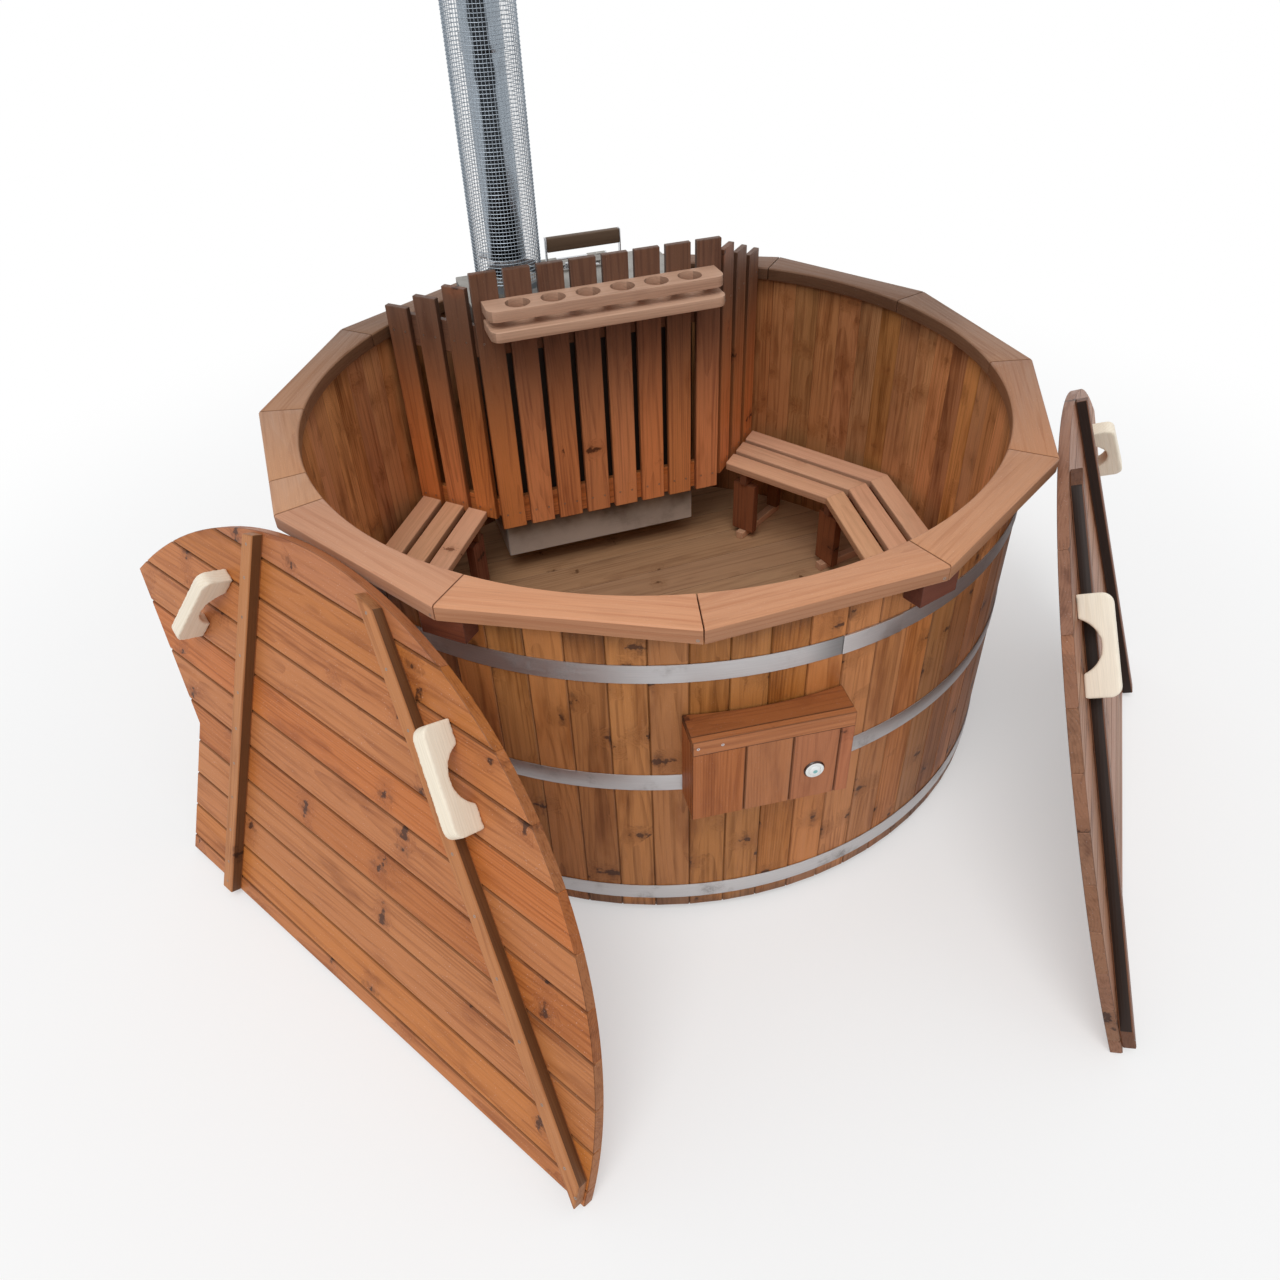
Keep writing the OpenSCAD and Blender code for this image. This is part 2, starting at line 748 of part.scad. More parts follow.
// A wide leg under the front slat and a narrow one by the wall.
module bench_legs() {
    inset = 14;
    color("sienna") bench_stations() {
        block(inset, inset + bench_wood_t, -leg_w / 2, leg_w / 2, foot_top, leg_top);
        block($bench_depth - inset - bench_wood_t, $bench_depth - inset, -leg_w / 4, leg_w / 4,
            foot_top, leg_top);
    }
}

module bench_feet() {
    inset = 6;
    color("burlywood") bench_stations() block(-inset, $bench_depth - inset,
        -bench_wood_t / 2, bench_wood_t / 2, floor_top, foot_top);
}

// ---- Heater ----

// Plan of the heater: a rectangle with rounded corners, smaller all round by inset.
module heater_plan(inset) {
    r = max(1, heater_corner - inset);
    x0 = heater_x + inset;
    x1 = heater_end - inset;
    y0 = heater_y0 + inset;
    y1 = heater_y1 - inset;
    translate([x0 + r, y0]) square([x1 - x0 - 2 * r, y1 - y0]);
    translate([x0, y0 + r]) square([x1 - x0, y1 - y0 - 2 * r]);
    for (x = [x0 + r, x1 - r]) for (y = [y0 + r, y1 - r]) translate([x, y]) circle(r);
}

// Sheet box open at the top, with a baffle that turns the smoke under it to the flue side.
module heater_body() {
    smoke_h = 330;       // open height under the baffle
    color("darkgray") facing(fence_az) {
        difference() {
            translate([0, 0, heater_low]) linear_extrude(heater_top_z - heater_low) heater_plan(0);
            translate([0, 0, heater_low + sheet_t]) linear_extrude(heater_top_z) heater_plan(sheet_t);
        }
        block(heater_x + sheet_t / 2, heater_end - sheet_t / 2, baffle_y, baffle_y + sheet_t,
            heater_low + smoke_h, heater_top_z);
    }
}

// Posts with foot plates, set back from the fence.
module heater_feet() {
    post_w = 40;
    base_w = 80;
    base_t = 5;
    color("dimgray") facing(fence_az) for (x = [heater_x + heater_l * 0.52, heater_end - 45])
        for (y = [heater_y0 + base_w, heater_y1 - base_w]) translate([x, y, 0]) {
            block(-post_w / 2, post_w / 2, -post_w / 2, post_w / 2, floor_top + base_t, heater_low);
            block(-base_w / 2, base_w / 2, -base_w / 2, base_w / 2, floor_top, floor_top + base_t);
        }
}

// Top plate with the fuel opening's upstand and the flue's collar.
module heater_top() {
    x0 = hatch_x + upstand_in;
    x1 = hatch_x + hatch_w - upstand_in;
    y0 = hatch_shift - hatch_l / 2 + upstand_in;
    y1 = hatch_shift + hatch_l / 2 - upstand_in;
    wall = 5;
    color("gray") facing(fence_az) difference() {
        union() {
            translate([0, 0, heater_top_z]) linear_extrude(plate_t) heater_plan(0);
            block(x0, x1, y0, y1, heater_top_z, plate_top + upstand_h);
            translate([flue_x, flue_y, plate_top])
                cylinder(h = collar_h, r = flue_r + touch + collar_t);
            for (y = hinge_ends) hinge_post(y);
        }
        block(x0 + wall, x1 - wall, y0 + wall, y1 - wall, heater_top_z - over, hatch_top);
        translate([flue_x, flue_y, heater_top_z - over])
            cylinder(h = collar_h, r = flue_r - flue_t - 1);
        translate([flue_x, flue_y, plate_top]) cylinder(h = collar_h + over, r = flue_r + touch);
        rod_y(pin_r + run_fit, hinge_x, heater_y0, heater_y1, hinge_z);
    }
}

// Fixed knuckle of the lid's hinge, standing on the top plate.
module hinge_post(y) {
    rod_y(hinge_r, hinge_x, y, y + hinge_len, hinge_z);
    block(hinge_x - hinge_r, hinge_x + hinge_r, y, y + hinge_len, plate_top - over, hinge_z);
}

// Hinge pin with a head at each end.
module heater_hinge() {
    head_r = pin_r + 2.5;
    head_t = 5.2;
    y0 = hinge_ends[0] - touch;
    y1 = hinge_ends[1] + hinge_len + touch;
    color("silver") facing(fence_az) {
        rod_y(pin_r, hinge_x, y0 - head_t / 2, y1 + head_t / 2, hinge_z);
        rod_y(head_r, hinge_x, y0 - head_t, y0, hinge_z);
        rod_y(head_r, hinge_x, y1, y1 + head_t, hinge_z);
    }
}

// Loose grate of bars on two cross bars, lying above the ash pan.
module fire_grate() {
    bars = 11;
    bar_w = 14;
    bar_h = 12;
    end_in = 60;
    z0 = heater_low + 140;
    x0 = heater_x + sheet_t + touch;
    x1 = heater_end - sheet_t - touch;
    y0 = heater_y0 + end_in;
    y1 = baffle_y + end_in;
    pitch = (y1 - y0 - bar_w) / (bars - 1);
    color("dimgray") facing(fence_az) {
        for (i = [0 : bars - 1])
            block(x0, x1, y0 + i * pitch, y0 + bar_w + i * pitch, z0, z0 + bar_h);
        for (x = [x0 + end_in, x1 - end_in - bar_h]) block(x, x + bar_h, y0, y1, z0, z0 + bar_h);
    }
}

// Open tray that lies on the heater's bottom.
module ash_pan() {
    pan_in = 40;
    pan_h = 70;
    pan_t = 2;
    z0 = heater_low + sheet_t + touch;
    x0 = heater_x + pan_in;
    x1 = heater_end - pan_in;
    y0 = heater_y0 + pan_in + 30;
    y1 = baffle_y + pan_in;
    color("darkgray") facing(fence_az) difference() {
        block(x0, x1, y0, y1, z0, z0 + pan_h);
        block(x0 + pan_t, x1 - pan_t, y0 + pan_t, y1 - pan_t, z0 + pan_t, z0 + pan_h + over);
    }
}

// Hinged fuel lid: a flat plate with a skirt, slide rails, vents and two knuckles.
module heater_lid() {
    skirt_t = 4;
    rail_half = 75;
    rail_rise = 6;
    rail_t = 5;
    lip_w = 4;
    y0 = hatch_shift - hatch_l / 2;
    y1 = hatch_shift + hatch_l / 2;
    rail_y0 = hatch_shift - rail_half;
    rail_y1 = hatch_shift + rail_half;
    color("dimgray") facing(fence_az) difference() {
        union() {
            difference() {
                block(hatch_x, hatch_x + hatch_w, y0, y1, hatch_low - skirt_h, hatch_top);
                block(hatch_x + skirt_t, hatch_x + hatch_w - skirt_t, y0 + skirt_t, y1 - skirt_t,
                    hatch_low - skirt_h - over, hatch_low);
            }
            for (s = [-1, 1]) {
                edge = vent_x + s * (slide_w / 2 + touch);
                back = edge + s * rail_t;
                lip = edge - s * lip_w;
                block(min(edge, back), max(edge, back), rail_y0, rail_y1, hatch_low,
                    hatch_top + rail_rise);
                block(min(lip, back), max(lip, back), rail_y0, rail_y1,
                    hatch_top + slide_t + 2 * touch, hatch_top + rail_rise);
            }
            for (y = [hinge_ends[0] + hinge_len + touch, hinge_ends[1] - hinge_len - touch]) {
                rod_y(hinge_r, hinge_x, y, y + hinge_len, hinge_z);
                block(hatch_x + hatch_w - skirt_t, hinge_x, y, y + hinge_len, hatch_low, hatch_top);
            }
        }
        rod_y(pin_r + run_fit, hinge_x, heater_y0, heater_y1, hinge_z);
        vents(hatch_low, hatch_top, 0);
    }
}

// Cutters for the four air slots between two heights, moved along by shift.
module vents(z0, z1, shift) {
    for (i = [-1.5 : 1.5]) block(vent_x - vent_l / 2, vent_x + vent_l / 2,
        hatch_shift + i * vent_pitch + shift - vent_w / 2,
        hatch_shift + i * vent_pitch + shift + vent_w / 2, z0 - over, z1 + over);
}

// Sliding air plate: its slots lie over the solid parts of the lid until it is moved.
module air_slide() {
    knob_r = 7;
    knob_h = 16;
    z0 = hatch_top + touch;
    y1 = hatch_shift + slide_l / 2 - vent_pitch / 4;
    color("silver") facing(fence_az) {
        difference() {
            block(vent_x - slide_w / 2, vent_x + slide_w / 2, y1 - slide_l, y1, z0, z0 + slide_t);
            vents(z0, z0 + slide_t, -vent_pitch / 2);
        }
        translate([vent_x, y1 - knob_r - 1, z0 + slide_t - over]) cylinder(h = knob_h, r = knob_r);
    }
}

module lid_straps() {
    foot_l = 22;
    color("silver") facing(fence_az) for (s = [-1, 1]) {
        inner = hatch_shift + s * (grip_l / 2 + touch / 3);
        outer = inner + s * strap_t;
        foot = inner - s * foot_l;
        block(grip_x - strap_w / 2, grip_x + strap_w / 2, min(inner, outer), max(inner, outer),
            hatch_top, hatch_top + grip_low + grip_h);
        block(grip_x - strap_w / 2, grip_x + strap_w / 2, min(foot, outer), max(foot, outer),
            hatch_top, hatch_top + strap_t);
    }
}

module lid_grip() {
    color("sienna") facing(fence_az) block(grip_x - grip_t / 2, grip_x + grip_t / 2,
        hatch_shift - grip_l / 2, hatch_shift + grip_l / 2,
        hatch_top + grip_low, hatch_top + grip_low + grip_h);
}

// ---- Flue ----

module at_flue() { facing(fence_az) translate([flue_x, flue_y, 0]) children(); }

module tube(r_out, t, z0, z1) {
    difference() {
        translate([0, 0, z0]) cylinder(h = z1 - z0, r = r_out);
        translate([0, 0, z0 - over]) cylinder(h = z1 - z0 + 2 * over, r = r_out - t);
    }
}

module flue_lower() {
    color("gray") at_flue() tube(flue_r, flue_t, plate_top + touch, flue_joint);
}

// Upper length, widened at its foot to sit over the lower one.
module flue_upper() {
    socket_r = flue_r + touch;
    color("gray") at_flue() rotate_extrude() polygon([
        [socket_r, flue_joint - socket_h], [socket_r + flue_t, flue_joint - socket_h],
        [socket_r + flue_t, flue_joint], [flue_r, flue_joint + 4 * flue_t], [flue_r, flue_top],
        [flue_r - flue_t, flue_top], [flue_r - flue_t, flue_joint + touch],
        [socket_r, flue_joint + touch]]);
}

// Guard against touching the hot flue: a thin tube with rows of windows all round.
module heat_guard() {
    bar_w = 9;
    col_turn = 360 / guard_cols;
    row_h = guard_h / guard_rows;
    open_w = guard_r * 2 * PI / guard_cols - bar_w;
    color("lightgray") at_flue() difference() {
        tube(guard_r, guard_t, guard_low, guard_low + guard_h);
        for (i = [0 : guard_cols - 1]) for (j = [0 : guard_rows - 1]) rotate([0, 0, i * col_turn])
            block(guard_r * 0.8, guard_r * 1.1, -open_w / 2, open_w / 2,
                guard_low + j * row_h + bar_w / 2, guard_low + (j + 1) * row_h - bar_w / 2);
    }
}

// Clamp rings on the pipe with four arms that hold the guard.
module guard_brackets() {
    ring_t = 3;
    ring_h = 24;
    arm_h = 20;
    ring_r = flue_r + touch + ring_t;
    color("silver") at_flue() for (z = [guard_low + 60, guard_low + guard_h - 70]) {
        tube(ring_r, ring_t, z, z + ring_h);
        for (i = [0 : 3]) rotate([0, 0, 45 + i * 90]) block(ring_r - over,
            guard_r - guard_t - touch, -ring_t / 2, ring_t / 2, z + 2, z + 2 + arm_h);
    }
}

// Conical cap on three legs from a clamp ring.
module rain_cap() {
    cap_r = 92;
    cap_rise = 46;
    cap_t = 2;
    leg_w = 18;
    leg_r = flue_r + touch + cap_t;
    ring_low = flue_top - 40;
    cap_z = flue_top + 48;
    color("silver") at_flue() {
        rotate_extrude() polygon([[0, cap_z + cap_rise], [0, cap_z + cap_rise + cap_t],
            [cap_r + cap_t, cap_z], [cap_r, cap_z - cap_t / 2]]);
        tube(leg_r, cap_t, ring_low, flue_top - 10);
        for (i = [0 : 2]) rotate([0, 0, i * 120]) block(flue_r + touch, leg_r, -leg_w / 2,
            leg_w / 2, ring_low, cap_z + cap_rise * (1 - leg_r / cap_r));
    }
}

// ---- Control box ----

// Cuts its children to the wall's curve, over the hoops.
module scribed() {
    difference() {
        children();
        translate([0, 0, -over]) cylinder(h = 2 * tub_h, r = box_back, $fn = big_fn);
    }
}

module box_top() {
    color("sienna") scribed() facing(box_az) block(wall_ri, box_x - box_t - touch, -box_w / 2,
        box_w / 2, box_top_z - box_t, box_top_z);
}

module box_rail() {
    color("sienna") facing(box_az) block(box_x - box_t, box_x, -box_w / 2, box_w / 2,
        box_top_z - rail_h, box_top_z);
}

// Upright front boards with a bevelled seam between them.
module box_front_boards() {
    first = -64;         // first seam, from the box's middle
    groove = 4;
    z1 = box_top_z - rail_h - touch;
    count = ceil((box_w / 2 - first) / box_board_w);
    color("sienna") facing(box_az) difference() {
        for (i = [-1 : count - 1]) {
            y0 = i < 0 ? -box_w / 2 : max(-box_w / 2, first + i * box_board_w) + seam / 2;
            y1 = min(box_w / 2, first + (i + 1) * box_board_w - seam / 2);
            block(box_face - box_t, box_face, y0, y1, box_low_z, z1);
        }
        for (i = [0 : count - 1]) translate([box_face, first + i * box_board_w, 0])
            rotate([0, 0, 45]) cube([groove, groove, 3 * tub_h], center = true);
        rod_x(barrel_r + touch, box_face - 2 * box_t, box_x + over, button_y, button_z);
    }
}

module box_sides() {
    color("sienna") scribed() facing(box_az) for (s = [-1, 1]) {
        y0 = s * box_w / 2;
        block(wall_ri, box_face - box_t - touch, min(y0, y0 - s * box_t), max(y0, y0 - s * box_t),
            box_low_z, box_top_z - box_t - touch);
    }
}

module box_base() {
    color("sienna") scribed() facing(box_az) block(wall_ri, box_face - box_t - touch,
        -box_w / 2 + box_t + touch, box_w / 2 - box_t - touch, box_low_z, box_low_z + box_t);
}

// Round bezel with a barrel through the board and a nut behind it.
module button_bezel() {
    bezel_t = 5;
    bezel_slope = 4;
    nut_t = 8;
    barrel_l = box_t + 12;
    color("white") facing(box_az) translate([0, button_y, button_z]) difference() {
        union() {
            translate([box_face + touch / 2, 0, 0]) rotate([0, 90, 0])
                cylinder(h = bezel_t, r1 = bezel_d / 2, r2 = bezel_d / 2 - bezel_slope);
            rod_x(barrel_r, box_face - barrel_l, box_face + over, 0, 0);
            translate([box_face - box_t - nut_t - 1, 0, 0]) rotate([0, 90, 0])
                cylinder(h = nut_t, r = barrel_r + 6, $fn = 6);
        }
        rod_x(button_r + run_fit, box_face - barrel_l + bezel_slope, box_x + 2 * bezel_t, 0, 0);
        rod_x(flange_r + touch, box_face - barrel_l + bezel_slope, box_face - button_lip, 0, 0);
    }
}

// Push button with a crowned face and a flange that the bezel keeps in.
module air_button() {
    back = box_face - button_lip - touch - flange_t;
    tip = box_face + 5 + button_travel - back;
    color("ghostwhite") facing(box_az) translate([back, button_y, button_z])
        rotate([0, 90, 0]) rotate_extrude() polygon([[0, 0], [flange_r, 0],
            [flange_r, flange_t], [button_r, flange_t], [button_r, tip - 2],
            [button_r - 2, tip - 0.8], [button_r - 6, tip - 0.2], [0, tip]]);
}

// Flat air blower inside the box, on a bracket from the box's base.
module air_blower() {
    drum_r = 52;
    motor_r = 24;
    motor_h = 11;
    nozzle_h = 10;
    bracket_w = 60;
    bracket_t = 22;
    x0 = hoop_r + 5;
    x1 = box_face - box_t - 5;
    color("black") facing(inlet_az) {
        difference() {
            union() {
                rod_x(drum_r, x0 + 4, x1 - motor_h - 3, 0, inlet_z);
                rod_x(motor_r, x1 - motor_h - 4, x1 - 4, 0, inlet_z);
                rod_x(inlet_r + 4, x0, x0 + nozzle_h, 0, inlet_z);
            }
            rod_x(inlet_r - inlet_t, x0 - over, x0 + nozzle_h + 2, 0, inlet_z);
        }
        block(x0 + 8, x0 + 8 + bracket_t, -bracket_w / 2, bracket_w / 2,
            box_low_z + box_t + touch, inlet_z - drum_r * 0.77);
    }
}

// Air nozzle: a pipe through a stave with a flange inside the tub and a nut outside.
module air_inlet() {
    flange = 6;
    hole_r = 2.2;
    holes = 8;
    hole_ring = 8;
    color("whitesmoke") facing(inlet_az) difference() {
        union() {
            rod_x(inlet_r, wall_ri - flange, hoop_r + 4, 0, inlet_z);
            rod_x(2 * inlet_r, wall_ri - flange, wall_ri - touch, 0, inlet_z);
            translate([wall_r + touch, 0, inlet_z]) rotate([0, 90, 0])
                cylinder(h = flange, r = inlet_r + 9, $fn = 6);
        }
        rod_x(inlet_r - inlet_t, wall_ri - 2, hoop_r + flange, 0, inlet_z);
        for (i = [0 : holes - 1]) translate([0, 0, inlet_z]) rotate([i * 360 / holes, 0, 0])
            rod_x(hole_r, wall_ri - flange - over, wall_ri, 0, hole_ring);
    }
}

// ---- Drain ----

module at_drain() { facing(drain_az) translate([0, 0, drain_z]) children(); }

// Pipe through a stave with a flange inside the tub and a nut outside.
module drain_pipe() {
    flange = 5;
    pipe_nut = 10;
    color("silver") at_drain() difference() {
        union() {
            rod_x(drain_r, wall_ri - flange, valve_x - valve_half - 12, 0, 0);
            rod_x(drain_r + 14, wall_ri - flange, wall_ri - touch, 0, 0);
            translate([wall_r + touch, 0, 0]) rotate([0, 90, 0])
                cylinder(h = pipe_nut, r = drain_r + 12, $fn = 6);
        }
        rod_x(drain_bore, wall_ri - 2 * flange, valve_x, 0, 0);
    }
}

// Ball valve body with hexagonal ends, a stem bonnet and a plain outlet for a hose.
module valve_body() {
    hex_t = 14;
    bonnet_r = 12;
    bonnet_top = 42;
    end = valve_x + valve_half;
    color("silver") at_drain() difference() {
        union() {
            rod_x(valve_half, valve_x - valve_half, end, 0, 0);
            for (x = [valve_x - valve_half - 12 + touch, end - 2]) translate([x, 0, 0])
                rotate([0, 90, 0]) cylinder(h = hex_t, r = valve_hex_r, $fn = 6);
            translate([valve_x, 0, ball_r - 2]) cylinder(h = bonnet_top - ball_r + 2, r = bonnet_r);
            rod_x(drain_r, end, end + outlet_l, 0, 0);
        }
        rod_x(drain_bore, valve_x - 2 * valve_half, end + outlet_l + over, 0, 0);
        translate([valve_x, 0, 0]) sphere(ball_r + ball_fit);
        translate([valve_x, 0, 0]) cylinder(h = bonnet_top + over, r = stem_r + run_fit);
    }
}

// Ball with its bore across the pipe when shut, and the stem that turns it.
module valve_ball() {
    color("gainsboro") at_drain() translate([valve_x, 0, 0]) difference() {
        union() {
            sphere(ball_r);
            cylinder(h = lever_z + lever_t + 1, r = stem_r);
        }
        rod_y(drain_bore, 0, -ball_r - over, ball_r + over, 0);
    }
}

// Flat lever with a rounded tip and a hub round the stem.
module valve_lever() {
    lever_w = 18;
    color("firebrick") at_drain() translate([valve_x, 0, lever_z]) difference() {
        union() {
            cylinder(h = lever_t, r = 14);
            translate([-lever_w / 2, 0, 0]) cube([lever_w, lever_l, lever_t]);
            translate([0, lever_l, 0]) cylinder(h = lever_t, r = 11);
        }
        translate([0, 0, -over]) cylinder(h = lever_t + 2 * over, r = stem_r + run_fit);
    }
}

// ---- Lid halves ----

// Plan of a lid half: a half disc on its straight edge, cut away round the heater's fence.
module lid_plan(inset) {
    edge = -cut_s + inset;
    difference() {
        intersection() {
            circle(lid_r - inset, $fn = big_fn);
            translate([-lid_r, inset]) square([2 * lid_r, lid_r]);
        }
        polygon([[-2 * lid_r, -over], [edge, -over], [edge, cut_t],
            [edge - lid_r, cut_t + lid_r], [-2 * lid_r, cut_t + lid_r]]);
    }
}

// Boards along the straight edge, with a V groove between them on the outer face.
module lid_boards() {
    count = ceil((lid_r - lid_first_w) / lid_board_w);
    shoulder = lid_t - lid_groove;
    slope = lid_groove * 0.8;
    for (i = [0 : count]) {
        y0 = (i == 0 ? 0 : lid_first_w + (i - 1) * lid_board_w) + seam / 2;
        y1 = lid_first_w + i * lid_board_w - seam / 2;
        intersection() {
            linear_extrude(lid_t) lid_plan(0);
            translate([-lid_r, 0, 0]) rotate([90, 0, 90]) linear_extrude(2 * lid_r)
                polygon([[y0, 0], [y1, 0], [y1, shoulder], [y1 - slope, lid_t],
                    [y0 + slope, lid_t], [y0, shoulder]]);
        }
    }
}

// A straight batten across the boards and a slanting one towards the far end.
module lid_battens() {
    slant_foot = lid_r + 34;      // where the slanting batten's middle meets the straight edge
    low = lid_t - over;
    high = lid_t + lid_batten_t + over;
    intersection() {
        translate([0, 0, lid_t]) linear_extrude(lid_batten_t) lid_plan(5);
        union() {
            block(-lid_batten_s - lid_batten_w / 2, -lid_batten_s + lid_batten_w / 2, 0, lid_r,
                low, high);
            translate([slant_foot, 0, 0]) rotate([0, 0, 180 - lid_batten_slant])
                block(-lid_batten_w, 2 * lid_r, -lid_batten_w / 2, lid_batten_w / 2, low, high);
        }
    }
}

// Side view of a handle: rounded top corners and a finger scoop between two feet.
module handle_profile() {
    difference() {
        union() {
            translate([-handle_l / 2, 0]) square([handle_l, handle_h - handle_round]);
            translate([-handle_l / 2 + handle_round, 0])
                square([handle_l - 2 * handle_round, handle_h]);
            for (s = [-1, 1])
                translate([s * (handle_l / 2 - handle_round), handle_h - handle_round])
                    circle(handle_round);
        }
        translate([0, -scoop_r / 3]) circle(scoop_r);
    }
}

// One handle at a distance and direction from the lid's middle, turned out of square by tilt.
module lid_handle(reach, turn, tilt) {
    rotate([0, 0, 90 - turn]) translate([reach, 0, lid_t]) rotate([0, 0, 90 - tilt])
        rotate([90, 0, 0]) translate([0, 0, -handle_t / 2]) linear_extrude(handle_t)
            handle_profile();
}

module lid_handles() {
    for (h = [front_handle, rear_handle]) lid_handle(h[0], h[1], h[2]);
}

// Stands its children on their straight edge, leaning towards the tub.
module leaning(az, lean, foot, shift) {
    rotate([0, 0, az + 90]) translate([shift, -foot, 0]) rotate([90 - lean, 0, 0]) children();
}

module left_lid() { leaning(left_az, lean_left, left_foot, left_shift) children(); }

module right_lid() {
    leaning(right_az, lean_right, right_foot, right_shift) mirror([1, 0, 0]) children();
}

module lid_left_boards() { color("chocolate") left_lid() lid_boards(); }

module lid_left_battens() { color("sienna") left_lid() lid_battens(); }

module lid_left_handles() { color("cornsilk") left_lid() lid_handles(); }

module lid_right_boards() { color("chocolate") right_lid() lid_boards(); }

module lid_right_battens() { color("sienna") right_lid() lid_battens(); }

module lid_right_handles() { color("cornsilk") right_lid() lid_handles(); }

staves();
floor_boards();
floor_bearers();
hoop_top();
hoop_middle();
hoop_bottom();
hoop_lugs();
hoop_bolts();
rim_segments();
rim_supports();
fence_front_slats();
fence_front_battens();
fence_left_slats();
fence_left_battens();
fence_right_slats();
fence_right_battens();
cup_holder_top();
cup_holder_base();
cup_holder_spacers();
bench_slat_outer();
bench_slat_middle();
bench_slat_inner();
bench_bearers();
bench_legs();
bench_feet();
heater_body();
heater_feet();
heater_top();
fire_grate();
ash_pan();
heater_hinge();
heater_lid();
lid_straps();
lid_grip();
air_slide();
flue_lower();
flue_upper();
heat_guard();
guard_brackets();
rain_cap();
box_top();
box_rail();
box_front_boards();
box_sides();
box_base();
button_bezel();
air_button();
air_blower();
air_inlet();
drain_pipe();
valve_body();
valve_ball();
valve_lever();
lid_left_boards();
lid_left_battens();
lid_left_handles();
lid_right_boards();
lid_right_battens();
lid_right_handles();
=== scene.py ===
import json
import random
from math import atan2, cos, pi, radians, sin

import bmesh
import bpy
from mathutils import Matrix, Vector

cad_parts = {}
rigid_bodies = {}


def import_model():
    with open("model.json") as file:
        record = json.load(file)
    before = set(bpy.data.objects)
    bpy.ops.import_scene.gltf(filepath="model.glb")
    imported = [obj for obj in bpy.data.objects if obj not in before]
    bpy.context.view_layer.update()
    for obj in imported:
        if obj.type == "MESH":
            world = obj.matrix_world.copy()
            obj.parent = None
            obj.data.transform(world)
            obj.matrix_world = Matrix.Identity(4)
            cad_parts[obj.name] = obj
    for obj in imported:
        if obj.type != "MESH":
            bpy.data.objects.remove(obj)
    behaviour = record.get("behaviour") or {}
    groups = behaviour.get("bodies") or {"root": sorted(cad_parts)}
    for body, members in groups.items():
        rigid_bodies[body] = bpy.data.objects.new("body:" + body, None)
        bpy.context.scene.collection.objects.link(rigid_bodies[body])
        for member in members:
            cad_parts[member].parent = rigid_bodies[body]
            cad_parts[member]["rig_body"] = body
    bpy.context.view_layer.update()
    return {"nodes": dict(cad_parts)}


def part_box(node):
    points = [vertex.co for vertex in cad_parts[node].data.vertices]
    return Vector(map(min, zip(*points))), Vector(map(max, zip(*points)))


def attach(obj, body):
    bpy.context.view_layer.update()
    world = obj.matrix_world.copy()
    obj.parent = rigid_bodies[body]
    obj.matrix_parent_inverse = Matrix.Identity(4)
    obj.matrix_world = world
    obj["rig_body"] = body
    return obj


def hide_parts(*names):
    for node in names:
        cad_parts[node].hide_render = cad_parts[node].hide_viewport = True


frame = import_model()
nodes = frame["nodes"]
print("frame loaded:", len(nodes), "nodes")


def shade(red, green, blue):
    # a colour written as in a picture editor, 0 to 255, made linear
    return tuple(((part / 255 + 0.055) / 1.055) ** 2.4 if part > 10 else part / 3294
                 for part in (red, green, blue))


noiseSpan = (0.3, 0.7)   # where nearly all of a noise's values lie


